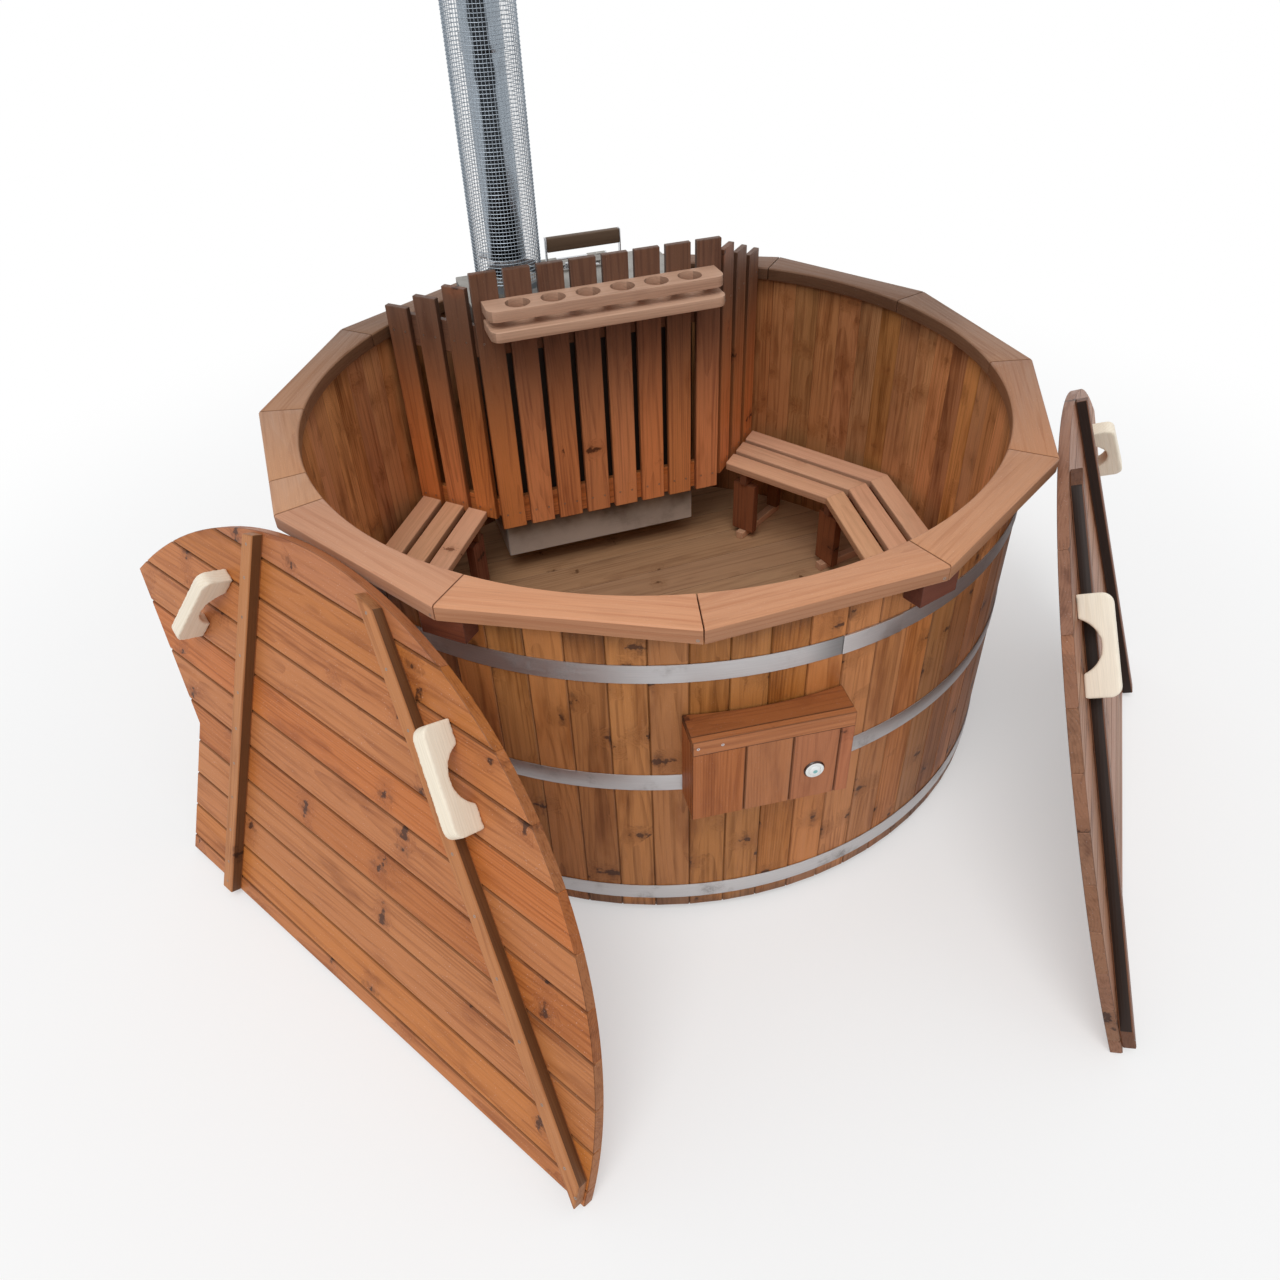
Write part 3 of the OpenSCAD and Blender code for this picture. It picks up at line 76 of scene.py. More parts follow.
class Paint:
    # one material's node tree, with short calls for the nodes used below
    def __init__(self, name):
        self.material = bpy.data.materials.new(name)
        self.material.use_nodes = True
        self.tree = self.material.node_tree
        self.shader = self.tree.nodes["Principled BSDF"]

    def put(self, value, socket):
        if isinstance(value, bpy.types.NodeSocket):
            self.tree.links.new(value, socket)
        else:
            socket.default_value = value

    def node(self, kind, inputs, output=0, **settings):
        made = self.tree.nodes.new("ShaderNode" + kind)
        for name, value in settings.items():
            setattr(made, name, value)
        for name, value in inputs.items():
            self.put(value, made.inputs[name])
        return made.outputs[output]

    def math(self, operation, a, b=0.0, clamp=False):
        return self.node("Math", {0: a, 1: b}, operation=operation, use_clamp=clamp)

    def plus(self, a, b):
        return self.math("ADD", a, b)

    def times(self, a, b):
        return self.math("MULTIPLY", a, b)

    def vector(self, operation, a, b=(0, 0, 0)):
        output = "Value" if operation == "LENGTH" else "Vector"
        return self.node("VectorMath", {0: a, 1: b}, output, operation=operation)

    def attribute(self, name, output="Fac"):
        return self.node("Attribute", {}, output, attribute_name=name)

    def place(self):
        return self.node("TexCoord", {}, "Object")

    def noise(self, where, scale=1.0, detail=2.0, rough=0.5, output="Fac"):
        inputs = {"Vector": where, "Scale": scale, "Detail": detail, "Roughness": rough}
        return self.node("TexNoise", inputs, output)

    def remap(self, value, low, high, to0=0.0, to1=1.0, smooth=True):
        inputs = {"Value": value, "From Min": low, "From Max": high, "To Min": to0, "To Max": to1}
        way = "SMOOTHSTEP" if smooth else "LINEAR"
        return self.node("MapRange", inputs, "Result", interpolation_type=way)

    def mix(self, amount, a, b, way="MIX"):
        a, b = (part if isinstance(part, bpy.types.NodeSocket) else (*part, 1) for part in (a, b))
        return self.node("Mix", {"Factor": amount, "A": a, "B": b}, "Result", data_type="RGBA",
                         blend_type=way)

    def stretched(self, where, look, output="Fac"):
        # noise with its own number of repeats per metre each way
        place = self.vector("MULTIPLY", where, look["repeats"])
        return self.noise(place, 1, look["detail"], look["rough"], output)

    def sway(self, noise, reach):
        # a noise made a shift to either side
        return self.remap(noise, *noiseSpan, -reach, reach)

    def draw(self, chance, middle, reach):
        # an even draw of 0 to 1 spread about a middle value
        return self.remap(chance, 0, 1, middle - reach, middle + reach, smooth=False)

    def towards(self, x, y, degrees):
        # how far a place lies in a level direction
        turn = radians(degrees)
        return self.plus(self.times(x, cos(turn)), self.times(y, sin(turn)))

    def tint(self, colour, hue=0.5, saturation=1.0, value=1.0):
        inputs = {"Hue": hue, "Saturation": saturation, "Value": value, "Color": colour}
        return self.node("HueSaturation", inputs, "Color")

    def tinted(self, amount, colour, hue=0.5, saturation=1.0, value=1.0):
        # the colour changed by a share
        return self.mix(amount, colour, self.tint(colour, hue, saturation, value))

    def split(self, value):
        node = self.tree.nodes.new("ShaderNodeSeparateXYZ")
        self.put(value, node.inputs[0])
        return node.outputs

    def join(self, x, y, z):
        return self.node("CombineXYZ", {0: x, 1: y, 2: z})

    def bump(self, height, strength, distance):
        inputs = {"Strength": strength, "Distance": distance, "Height": height}
        self.put(self.node("Bump", inputs, "Normal"), self.shader.inputs["Normal"])

    def finish(self, colour, roughness, **fixed):
        self.put(colour, self.shader.inputs["Base Color"])
        self.put(roughness, self.shader.inputs["Roughness"])
        for name, value in fixed.items():
            self.shader.inputs[name.replace("_", " ")].default_value = value
        return self.material


def meshOf(name, bm):
    mesh = bpy.data.meshes.new(name)
    bm.to_mesh(mesh)
    bm.free()
    return mesh


def addObject(name, data):
    added = bpy.data.objects.new(name, data)
    bpy.context.scene.collection.objects.link(added)
    return added


# the photograph's own camera, solved from the rim's corners
cameraLook = {
    "place": (0.0158, -2.5591, 2.2312),
    "turn": -0.0306,   # radians to the right of +Y
    "down": 0.6973,   # radians below level
    "roll": -0.0418,
    "focalPixels": 1001.77,
    "framePixels": 1280,
    "sensor": 36.0,
    "farthest": 200,
}


def placeCamera(look):
    turn, down, roll = look["turn"], look["down"], look["roll"]
    ahead = Vector((sin(turn) * cos(down), cos(turn) * cos(down), -sin(down)))
    level = Vector((cos(turn), -sin(turn), 0))
    above = level.cross(ahead)
    side = level * cos(roll) + above * sin(roll)
    top = above * cos(roll) - level * sin(roll)
    data = bpy.data.cameras.new("photoCamera")
    data.sensor_width = look["sensor"]
    data.lens = look["focalPixels"] / look["framePixels"] * look["sensor"]
    data.clip_end = look["farthest"]
    camera = addObject("photoCamera", data)
    camera.matrix_world = Matrix((side, top, -ahead)).transposed().to_4x4()
    camera.location = look["place"]
    bpy.context.scene.camera = camera


studio = {
    "skyLight": 0.62,
    "skyTint": (0.965, 0.982, 1.0),
    "sunFrom": (-0.6, -2.2, 4.0),
    "sunStrength": 1.25,
    "sunWidth": 38,   # degrees, wide for soft shadows
    "floorSize": 90,
    "floorDrop": 0.0005,   # keeps the floor just below the wood that stands on it
    "floorTint": (0.95, 0.95, 0.945),
    "floorRough": 0.9,
    "floorShine": 0.1,
    "floorFade": (1.9, 3.6),   # metres from the tub's axis where the floor turns plain white
    "floorVeil": 0.4,   # share of plain white seen over the floor's shadows
}


def seenDirectly(made, links):
    # 1 for what the camera sees, also in metal and glass, and 0 for light on the object
    path = made.new("ShaderNodeLightPath")
    seen = path.outputs["Is Camera Ray"]
    for ray in ("Is Glossy Ray", "Is Transmission Ray"):
        either = made.new("ShaderNodeMath")
        either.operation = "MAXIMUM"
        links.new(seen, either.inputs[0])
        links.new(path.outputs[ray], either.inputs[1])
        seen = either.outputs[0]
    return seen


def buildSky(look):
    world = bpy.data.worlds.new("studioSky")
    bpy.context.scene.world = world
    world.use_nodes = True
    links, made = world.node_tree.links, world.node_tree.nodes
    made.clear()
    mix = made.new("ShaderNodeMixShader")
    links.new(seenDirectly(made, links), mix.inputs[0])
    skies = ((look["skyTint"], look["skyLight"]), ((1, 1, 1), 1))   # on the object, and as seen
    for (tint, strength), socket in zip(skies, mix.inputs[1:]):
        sky = made.new("ShaderNodeBackground")
        sky.inputs["Color"].default_value = (*tint, 1)
        sky.inputs["Strength"].default_value = strength
        links.new(sky.outputs[0], socket)
    out = made.new("ShaderNodeOutputWorld")
    links.new(mix.outputs[0], out.inputs["Surface"])


def buildFloor(look):
    bm = bmesh.new()
    bmesh.ops.create_grid(bm, x_segments=1, y_segments=1, size=look["floorSize"] / 2)
    bmesh.ops.translate(bm, verts=bm.verts, vec=(0, 0, -look["floorDrop"]))
    floor = addObject("studioFloor", meshOf("studioFloor", bm))
    # plain white far from the tub, for the camera's eye only
    paint = Paint("paleFloor")
    made, links = paint.tree.nodes, paint.tree.links
    fade = paint.vector("LENGTH", paint.place())
    fade = paint.remap(fade, *look["floorFade"], look["floorVeil"])
    mix = made.new("ShaderNodeMixShader")
    paint.put(paint.times(fade, seenDirectly(made, links)), mix.inputs[0])
    paint.put(paint.shader.outputs[0], mix.inputs[1])
    paint.put(made.new("ShaderNodeEmission").outputs[0], mix.inputs[2])
    paint.put(mix.outputs[0], made["Material Output"].inputs["Surface"])
    floor.data.materials.append(paint.finish((*look["floorTint"], 1), look["floorRough"],
                                             Specular_IOR_Level=look["floorShine"]))


def buildSun(look):
    data = bpy.data.lights.new("softSun", "SUN")
    data.energy = look["sunStrength"]
    data.angle = radians(look["sunWidth"])
    lamp = addObject("softSun", data)
    lamp.rotation_euler = Vector(look["sunFrom"]).to_track_quat("Z", "Y").to_euler()


placeCamera(cameraLook)
buildSky(studio)
buildFloor(studio)
buildSun(studio)
bpy.context.scene.view_settings.view_transform = "Standard"
print("camera and studio ready")


# What each wood looks like. "early" and "late" are the pale and dark parts of a year ring,
# "ringGap" is the metres between rings and "ringDepth" how strong they are. "tone" and "hue" are
# how much boards differ, "knots" is the share of places that carry one, "streak" is how strong the
# fine grain is, "stain" is how dark the blotches are and "fleck" how strong the pale specks.
# "arris" darkens the bevels, and "sides" is painted shade on the narrow sides. Some woods have
# more:
# "stainFrom" is how common blotches are, "inside" is the colour of the wall's inner side, "wet" and
# "eaves" are the heights in metres where the wall is dark at its foot and under the rim, the latter
# partly staining and partly painted shade, "weathered" is how dark the painted shade makes boards
# at the tub's back, and "above" is the darker, greyer colour that slats reach between the heights
# "low" and "high", partly greyed wood and partly painted shade under the cup holder.
plainWood = {"ringGap": 0.006, "ringDepth": 0.4, "tone": 0.1, "hue": 0.004, "knots": 0.1,
             "rough": 0.5, "arris": 0.95, "sides": 0.9, "streak": 0.3, "stain": 0.35, "fleck": 0.1}


def wood(early, late, knot, **own):
    # colours from 0 to 255, and what differs from plain wood
    return dict(plainWood, early=shade(*early), late=shade(*late), knot=shade(*knot), **own)


woods = {
    "stave": wood((184, 120, 66), (132, 78, 34), (58, 28, 14), ringGap=0.0062, ringDepth=0.45,
                  tone=0.5, hue=0.006, knots=0.72, arris=0.72, sides=0.8, streak=0.36, stain=0.66,
                  fleck=0.14, stainFrom=0.47, inside=shade(212, 150, 100), wet=(0.03, 0.085),
                  eaves=(0.885, 0.96)),
    "floor": wood((174, 134, 98), (140, 102, 72), (90, 58, 34), ringGap=0.009, ringDepth=0.32,
                  tone=0.12, knots=0.22, rough=0.55, arris=0.55, sides=1.0, fleck=0.05),
    "rim": wood((212, 153, 113), (184, 121, 83), (126, 76, 50), ringGap=0.009, ringDepth=0.32,
                tone=0.16, knots=0.05, rough=0.46, sides=0.66, stain=0.2, fleck=0.3,
                weathered=0.28),
    "fence": wood((218, 138, 84), (166, 97, 58), (56, 28, 16), ringDepth=0.42, tone=0.2, hue=0.002,
                  knots=0.16, rough=0.46, arris=0.85, sides=0.6, streak=0.36, stain=0.45,
                  fleck=0.12, low=0.5, high=1.06, above=shade(94, 70, 58)),
    "cup": wood((200, 160, 132), (168, 128, 102), (120, 84, 60), ringGap=0.008, ringDepth=0.3,
                knots=0.05, rough=0.55, arris=1.0, sides=1.0, stain=0.25),
    "bench": wood((224, 172, 136), (200, 146, 112), (124, 76, 50), ringGap=0.008, ringDepth=0.28,
                  knots=0.12, sides=0.7, streak=0.25, stain=0.15, fleck=0.12),
    "frameWood": wood((128, 76, 48), (96, 52, 32), (52, 26, 16), ringGap=0.007, tone=0.2, hue=0.006,
                      rough=0.6, arris=0.8, fleck=0.05),
    "grip": wood((96, 76, 58), (72, 55, 42), (46, 32, 22), ringDepth=0.35, tone=0.08, knots=0.0,
                 sides=0.95, streak=0.25, stain=0.2, fleck=0.0),
    "box": wood((176, 106, 62), (140, 76, 40), (66, 32, 18), tone=0.14, knots=0.4, arris=0.5,
                streak=0.32, stain=0.4, fleck=0.15),
    "lid": wood((188, 117, 68), (140, 75, 38), (52, 24, 13), ringGap=0.0065, ringDepth=0.42,
                tone=0.16, hue=0.003, knots=0.42, rough=0.46, arris=0.55, streak=0.32, stain=0.55,
                fleck=0.45),
    "lidBatten": wood((186, 124, 74), (144, 86, 46), (62, 30, 16), ringDepth=0.42, arris=0.85,
                      sides=0.3, streak=0.34, stain=0.3, fleck=0.2),
    "handle": wood((246, 234, 214), (232, 215, 188), (160, 128, 92), ringGap=0.007, ringDepth=0.3,
                   tone=0.06, hue=0.003, knots=0.06, rough=0.46, arris=1.0, sides=1.0, streak=0.16,
                   stain=0.1, fleck=0.0),
}
# the box's lid, the blocks under the rim, and the right lid half in its own shade
woods["boxLid"] = dict(woods["box"], early=shade(148, 84, 44), late=shade(114, 59, 28))
woods["rimBlock"] = dict(woods["frameWood"], early=shade(108, 54, 36), late=shade(82, 38, 25))
woods["darkLid"] = dict(woods["lid"], early=shade(160, 112, 84), late=shade(124, 82, 58))
woods["darkBatten"] = dict(woods["lidBatten"], early=shade(120, 74, 48), late=shade(88, 52, 32),
                           sides=0.1)

# noises along the grain, in repeats per metre along, across and into the board
grainNoises = {
    "drift": {"repeats": (0.9, 4, 4), "detail": 2, "rough": 0.5},
    "streak": {"repeats": (1.6, 75, 75), "detail": 3, "rough": 0.6},
    "fibre": {"repeats": (14, 620, 620), "detail": 2, "rough": 0.5},
    "cloud": {"repeats": (1.4, 5, 5), "detail": 2, "rough": 0.5},
    "blotch": {"repeats": (3.2, 16, 16), "detail": 3, "rough": 0.62},
}

knotLook = {
    "cells": (3.6, 9.5, 0.8),   # per metre along, across and into the board, one knot in each
    "scatter": 0.9,
    "smallest": 0.0025,   # metres
    "largest": 0.01,
    "across": (0.8, 0.14),   # how much distance across the grain counts: round to long knots
    "edge": (0.5, 1.3),   # shares of a knot's size between which it ends
    "ragged": 0.006,
    "raggedNoise": (55, 3, 0.6),   # scale, detail and roughness
    "halo": (0.004, 0.05),   # metres from the knot where the grain still bends round it
    "wingEdge": (0.001, 0.012),   # dark wings that run out from a knot along the grain
    "wingAlong": 0.35,
    "wingDark": 0.5,
}


def knotMasks(paint, grain, share):
    # the knots themselves and the grain round them
    look = knotLook
    scattered = paint.tree.nodes.new("ShaderNodeTexVoronoi")
    scattered.inputs["Scale"].default_value = 1
    scattered.inputs["Randomness"].default_value = look["scatter"]
    cells = paint.vector("MULTIPLY", grain, look["cells"])
    paint.put(cells, scattered.inputs["Vector"])
    off = paint.vector("SUBTRACT", cells, scattered.outputs["Position"])
    along, across = paint.split(paint.vector("DIVIDE", off, look["cells"]))[:2]
    chance, sizeDraw, shapeDraw = paint.split(scattered.outputs["Color"])[:3]
    present = paint.math("LESS_THAN", chance, share)
    ragged = paint.sway(paint.noise(grain, *look["raggedNoise"]), look["ragged"])
    narrow = paint.remap(shapeDraw, 0, 1, *look["across"], smooth=False)
    reach = paint.vector("LENGTH", paint.join(along, paint.times(across, narrow), 0.0))
    reach = paint.plus(reach, ragged)
    size = paint.remap(sizeDraw, 0, 1, look["smallest"], look["largest"], smooth=False)
    core = paint.remap(paint.math("DIVIDE", reach, size), *look["edge"], 1, 0)
    wing = paint.join(paint.times(along, look["wingAlong"]), across, 0.0)
    wing = paint.plus(paint.vector("LENGTH", wing), ragged)
    wing = paint.remap(wing, *look["wingEdge"], look["wingDark"], 0.0)
    core = paint.times(paint.math("MAXIMUM", core, wing), present)
    halo = paint.times(paint.remap(reach, *look["halo"], 1, 0), present)
    return core, halo


ringLook = {
    "wander": (0, 0.05, 0.05),   # metres that rings drift along the board
    "swirl": 0.022,   # metres that they bend at a knot
    "taper": (0.05, 1, 1),   # rings lie nearly along the board
    "scale": 0.314,   # one ring for each ringGap
    "distortion": 1.2,
    "detail": 2,
    "detailScale": 0.8,
    "span": (0.25, 1.0),
}


def ringPattern(paint, grain, halo, gap):
    look = ringLook
    drift = paint.stretched(grain, grainNoises["drift"], "Color")
    drift = paint.vector("SUBTRACT", drift, (0.5, 0.5, 0.5))
    drift = paint.vector("MULTIPLY", drift, look["wander"])
    swirl = paint.times(paint.times(halo, halo), look["swirl"])
    bent = paint.vector("ADD", paint.vector("ADD", grain, drift), paint.join(0.0, swirl, swirl))
    wave = paint.tree.nodes.new("ShaderNodeTexWave")
    wave.wave_type = "RINGS"
    wave.rings_direction = "X"
    wave.wave_profile = "SAW"
    numbers = (look["scale"] / gap, look["distortion"], look["detail"], look["detailScale"])
    for name, number in zip(("Scale", "Distortion", "Detail", "Detail Scale"), numbers):
        wave.inputs[name].default_value = number
    paint.put(paint.vector("MULTIPLY", bent, look["taper"]), wave.inputs["Vector"])
    return paint.remap(wave.outputs["Fac"], *look["span"])


grainLook = {
    "streakSpan": (0.35, 0.7),
    "cloud": 0.15,
    "blotchShift": (7.1, 3.3, 1.7),
    "blotchFrom": 0.54,
    "blotchFull": 0.74,
    "blotchTint": (0.488, 1.12, 0.42),   # hue, saturation and value
    "fibre": (0.94, 1.06),
    "saturation": 0.05,
    "halo": 0.35,
    "core": 0.85,
    "fleckScale": 330,
    "fleckSpan": (0.66, 0.76),
    "endDark": 0.72,
    "rough": (-0.08, 0.1),
    "shine": 0.3,
}

# the wall's inner side: between which radii it starts, its share, how strong its grain is, how dark
# its painted shade gets over these metres towards the back, and how strong its knots are
liningLook = {"radii": (0.958, 0.966), "share": 0.8, "grain": 0.8, "back": (0.1, 0.85), "dark": 0.6,
              "knots": 0.3}

weatherAndShadeLook = {
    "fadeAndShade": 0.9,
    "fadeAndShadeGrain": 0.6,
    "depth": (-0.95, 0.5),   # metres from the front to the back over which rim boards darken
    "damp": 0.75,
    "dampSway": 0.03,
    "dampTint": {"saturation": 0.8, "value": 0.4},
    "eaves": 0.65,
    "eavesSway": 0.02,
    "eavesDark": 0.35,
}

reliefLook = {"ring": -0.35, "streak": 0.6, "fibre": 0.35, "knot": -0.5, "strength": 0.55,
              "depth": 0.0008}


def boardDice(paint):
    # three even draws for each board
    dice = paint.tree.nodes.new("ShaderNodeTexWhiteNoise")
    dice.noise_dimensions = "1D"
    paint.put(paint.attribute("boardTone"), dice.inputs["W"])
    return paint.split(dice.outputs["Color"])[:3]


def woodPaint(name, look):
    # solid wood: rings round a pith that runs along the board, so that ends show rings too
    paint = Paint(name)
    grain = paint.attribute("grainPlace", "Vector")
    x, y, height = paint.split(paint.place())[:3]
    core, halo = knotMasks(paint, grain, look["knots"])
    ring = ringPattern(paint, grain, halo, look["ringGap"])
    streak, fibre, cloud = (paint.stretched(grain, grainNoises[kind])
                            for kind in ("streak", "fibre", "cloud"))
    blotch = paint.vector("ADD", grain, grainLook["blotchShift"])
    blotch = paint.remap(paint.stretched(blotch, grainNoises["blotch"]),
                         look.get("stainFrom", grainLook["blotchFrom"]), grainLook["blotchFull"],
                         0.0, look["stain"])

    fine = paint.remap(streak, *grainLook["streakSpan"], -look["streak"], look["streak"])
    amount = paint.plus(paint.times(ring, look["ringDepth"]), fine)
    amount = paint.math("ADD", amount, paint.sway(cloud, grainLook["cloud"]), clamp=True)
    colour = paint.mix(amount, look["early"], look["late"])
    if "inside" in look:
        # the inner side is evener and browner than the outside, and painted shade darkens it behind
        # the fence
        radius = paint.vector("LENGTH", paint.join(x, y, 0.0))
        inner = paint.remap(radius, *liningLook["radii"], liningLook["share"], 0)
        lining = paint.mix(paint.times(amount, liningLook["grain"]), look["inside"], look["late"])
        lit = paint.remap(y, *liningLook["back"], 1.0, liningLook["dark"])
        colour = paint.mix(inner, colour, paint.tint(lining, value=lit))
        faint = paint.remap(radius, *liningLook["radii"], liningLook["knots"], 1)
        core = paint.times(core, faint)

    # every board has its own tone
    valueDraw, hueDraw, saturationDraw = boardDice(paint)
    value = paint.times(paint.draw(valueDraw, 1, look["tone"] / 2),
                       paint.remap(fibre, *noiseSpan, *grainLook["fibre"], smooth=False))
    colour = paint.tint(colour, paint.draw(hueDraw, 0.5, look["hue"]),
                        paint.draw(saturationDraw, 1, grainLook["saturation"]), value)

    if "above" in look:
        # the slats turn darker and greyer towards their tops: greyed wood, and painted shade under
        # the cup holder
        late = tuple(weatherAndShadeLook["fadeAndShadeGrain"] * part for part in look["above"])
        share = paint.remap(height, look["low"], look["high"], 0.0, weatherAndShadeLook["fadeAndShade"])
        colour = paint.mix(share, colour, paint.mix(amount, look["above"], late))
    if "weathered" in look:
        # painted shade: boards darken towards the back of the tub
        lit = paint.remap(y, *weatherAndShadeLook["depth"], 1.0, look["weathered"], smooth=False)
        colour = paint.tint(colour, value=lit)
    if "wet" in look:
        # damp and dark along the foot of the wall
        foot = paint.plus(height, paint.sway(cloud, weatherAndShadeLook["dampSway"]))
        damp = paint.remap(foot, *look["wet"], weatherAndShadeLook["damp"], 0.0)
        colour = paint.tinted(damp, colour, **weatherAndShadeLook["dampTint"])
    if "eaves" in look:
        # and darker under the rim: partly staining, partly painted shade where the rim keeps the
        # light off
        under = paint.plus(height, paint.sway(cloud, weatherAndShadeLook["eavesSway"]))
        shaded = paint.remap(under, *look["eaves"], 0.0, weatherAndShadeLook["eaves"])
        colour = paint.tinted(shaded, colour, value=weatherAndShadeLook["eavesDark"])
    colour = paint.tinted(blotch, colour, *grainLook["blotchTint"])
    colour = paint.mix(paint.times(halo, grainLook["halo"]), colour, look["late"])
    colour = paint.mix(paint.times(core, grainLook["core"]), colour, look["knot"])
    specks = paint.noise(grain, grainLook["fleckScale"])
    specks = paint.remap(specks, *grainLook["fleckSpan"], 0.0, look["fleck"])
    colour = paint.mix(specks, colour, tuple((part + 1) / 2 for part in look["early"]))
    colour = paint.tinted(paint.attribute("arris"), colour, value=look["arris"])
    # painted shade: the narrow sides are darkened by "sides"
    colour = paint.tinted(paint.attribute("boardSide"), colour, value=look["sides"])
    colour = paint.tinted(paint.attribute("endGrain"), colour, value=grainLook["endDark"])

    relief = paint.times(ring, reliefLook["ring"])
    for part, kind in ((streak, "streak"), (fibre, "fibre"), (core, "knot")):
        relief = paint.plus(relief, paint.times(part, reliefLook[kind]))
    paint.bump(relief, reliefLook["strength"], reliefLook["depth"])
    roughs = (look["rough"] + change for change in grainLook["rough"])
    rough = paint.remap(streak, *noiseSpan, *roughs, smooth=False)
    return paint.finish(colour, rough, Specular_IOR_Level=grainLook["shine"])


woodPaints = {name: woodPaint(name + "Wood", look) for name, look in woods.items()}
print("wood finishes ready:", len(woodPaints))


# the end where the top hoop overlaps itself: its direction, and the painted shadow on the band
# before it and the painted highlight beyond it
hoopLapShade = {"turn": -66.5, "before": 0.1, "beyond": 0.16, "dark": 0.5, "light": 1.25}

# a painted dark reflection up the front of the flue: its direction, its half width as a share of
# the pipe's radius at two heights, how ragged and soft its edge is, and how dark it is
flueReflectionBand = {"turn": -86, "heights": (1.1, 1.5), "widths": (0.84, 0.44), "ragged": 0.07,
              "raggedScale": 8, "soft": 0.06, "dark": 0.96, "colour": (0.016, 0.017, 0.02)}


def sheet(colour, stain, rough, stainShare, **own):
    # "stainShare" is how much of the metal is dull, and "smoke" the heights over which painted
    # shade comes in on the heater case
    return dict(own, colour=colour, stain=stain, rough=rough, stainShare=stainShare)


metals = {
    "hoop": sheet((0.6, 0.585, 0.59), (0.28, 0.26, 0.25), 0.46, 0.35),
    "heater": sheet((0.36, 0.345, 0.32), (0.15, 0.125, 0.1), 0.5, 0.6),
    "heaterWall": sheet((0.62, 0.6, 0.57), (0.4, 0.37, 0.33), 0.5, 0.4, metallic=0.3,
                        smoke=(0.185, 0.36), smokeColour=(0.03, 0.018, 0.011)),
    "bright": sheet((0.62, 0.63, 0.65), (0.4, 0.4, 0.4), 0.3, 0.2),
    "mesh": sheet((0.38, 0.43, 0.48), (0.24, 0.27, 0.3), 0.45, 0.3),
    "soot": sheet((0.035, 0.036, 0.04), (0.02, 0.018, 0.018), 0.24, 0.5),
    "streakedFlue": sheet((0.42, 0.47, 0.52), (0.3, 0.33, 0.36), 0.26, 0.3, streak=flueReflectionBand),
    "plated": sheet((0.7, 0.66, 0.6), (0.5, 0.42, 0.3), 0.2, 0.3),
    "screw": sheet((0.36, 0.33, 0.3), (0.12, 0.09, 0.07), 0.4, 0.8),
}
metals["lappedHoop"] = dict(metals["hoop"], lap=hoopLapShade)

sheetLook = {
    "brush": {"repeats": (9, 9, 900), "detail": 3, "rough": 0.6},   # fine scratches round the axis
    "brushShare": 0.35,
    "brushDark": 0.8,
    "patchNoise": (7, 4, 0.6),   # scale, detail and roughness
    "patchFrom": 0.62,
    "patchSpread": 0.25,
    "patchFull": 0.75,
    "speckScale": 160,
    "speckSpan": (0.35, 0.6),
    "speckLeast": 0.4,
    "stain": 0.75,
    "smokeSway": 0.02,
    "smoke": 0.97,
    "rough": (-0.06, 0.08),
    "stainRough": 0.22,
    "dentScale": 11,
    "scratch": 0.12,
    "strength": 0.25,
    "depth": 0.0016,
}


def lapped(paint, where, colour, lap):
    # painted shadow before the lap's edge and a painted highlight beyond it, on that side of the
    # tub only
    x, y = paint.split(where)[:2]
    aside = paint.towards(x, y, lap["turn"] + 90)
    dark = paint.remap(aside, -lap["before"], 0, 1, lap["dark"])
    light = paint.remap(aside, 0, lap["beyond"], lap["light"], 1)
    value = paint.mix(paint.math("GREATER_THAN", aside, 0.0),
                      paint.join(dark, dark, dark), paint.join(light, light, light))
    near = paint.math("GREATER_THAN", paint.towards(x, y, lap["turn"]), 0.0)
    return paint.mix(near, colour, paint.mix(1.0, colour, value, "MULTIPLY"))


def streaked(paint, where, colour, streak):
    # painted reflection: a dark band down the front of the pipe
    low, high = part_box("flue_lower")
    middle, radius = (low + high) / 2, (high.x - low.x) / 2
    x, y, z = paint.split(paint.vector("SUBTRACT", where, (middle.x, middle.y, 0.0)))[:3]
    aside = paint.math("ABSOLUTE", paint.towards(x, y, streak["turn"] + 90))
    ragged = paint.sway(paint.noise(where, streak["raggedScale"]), streak["ragged"])
    reach = paint.plus(paint.math("DIVIDE", aside, radius), ragged)
    over = paint.math("SUBTRACT", reach, paint.remap(z, *streak["heights"], *streak["widths"]))
    dark = paint.remap(over, -streak["soft"], streak["soft"], streak["dark"], 0)
    front = paint.math("GREATER_THAN", paint.towards(x, y, streak["turn"]), 0.0)
    return paint.mix(paint.times(dark, front), colour, streak["colour"])


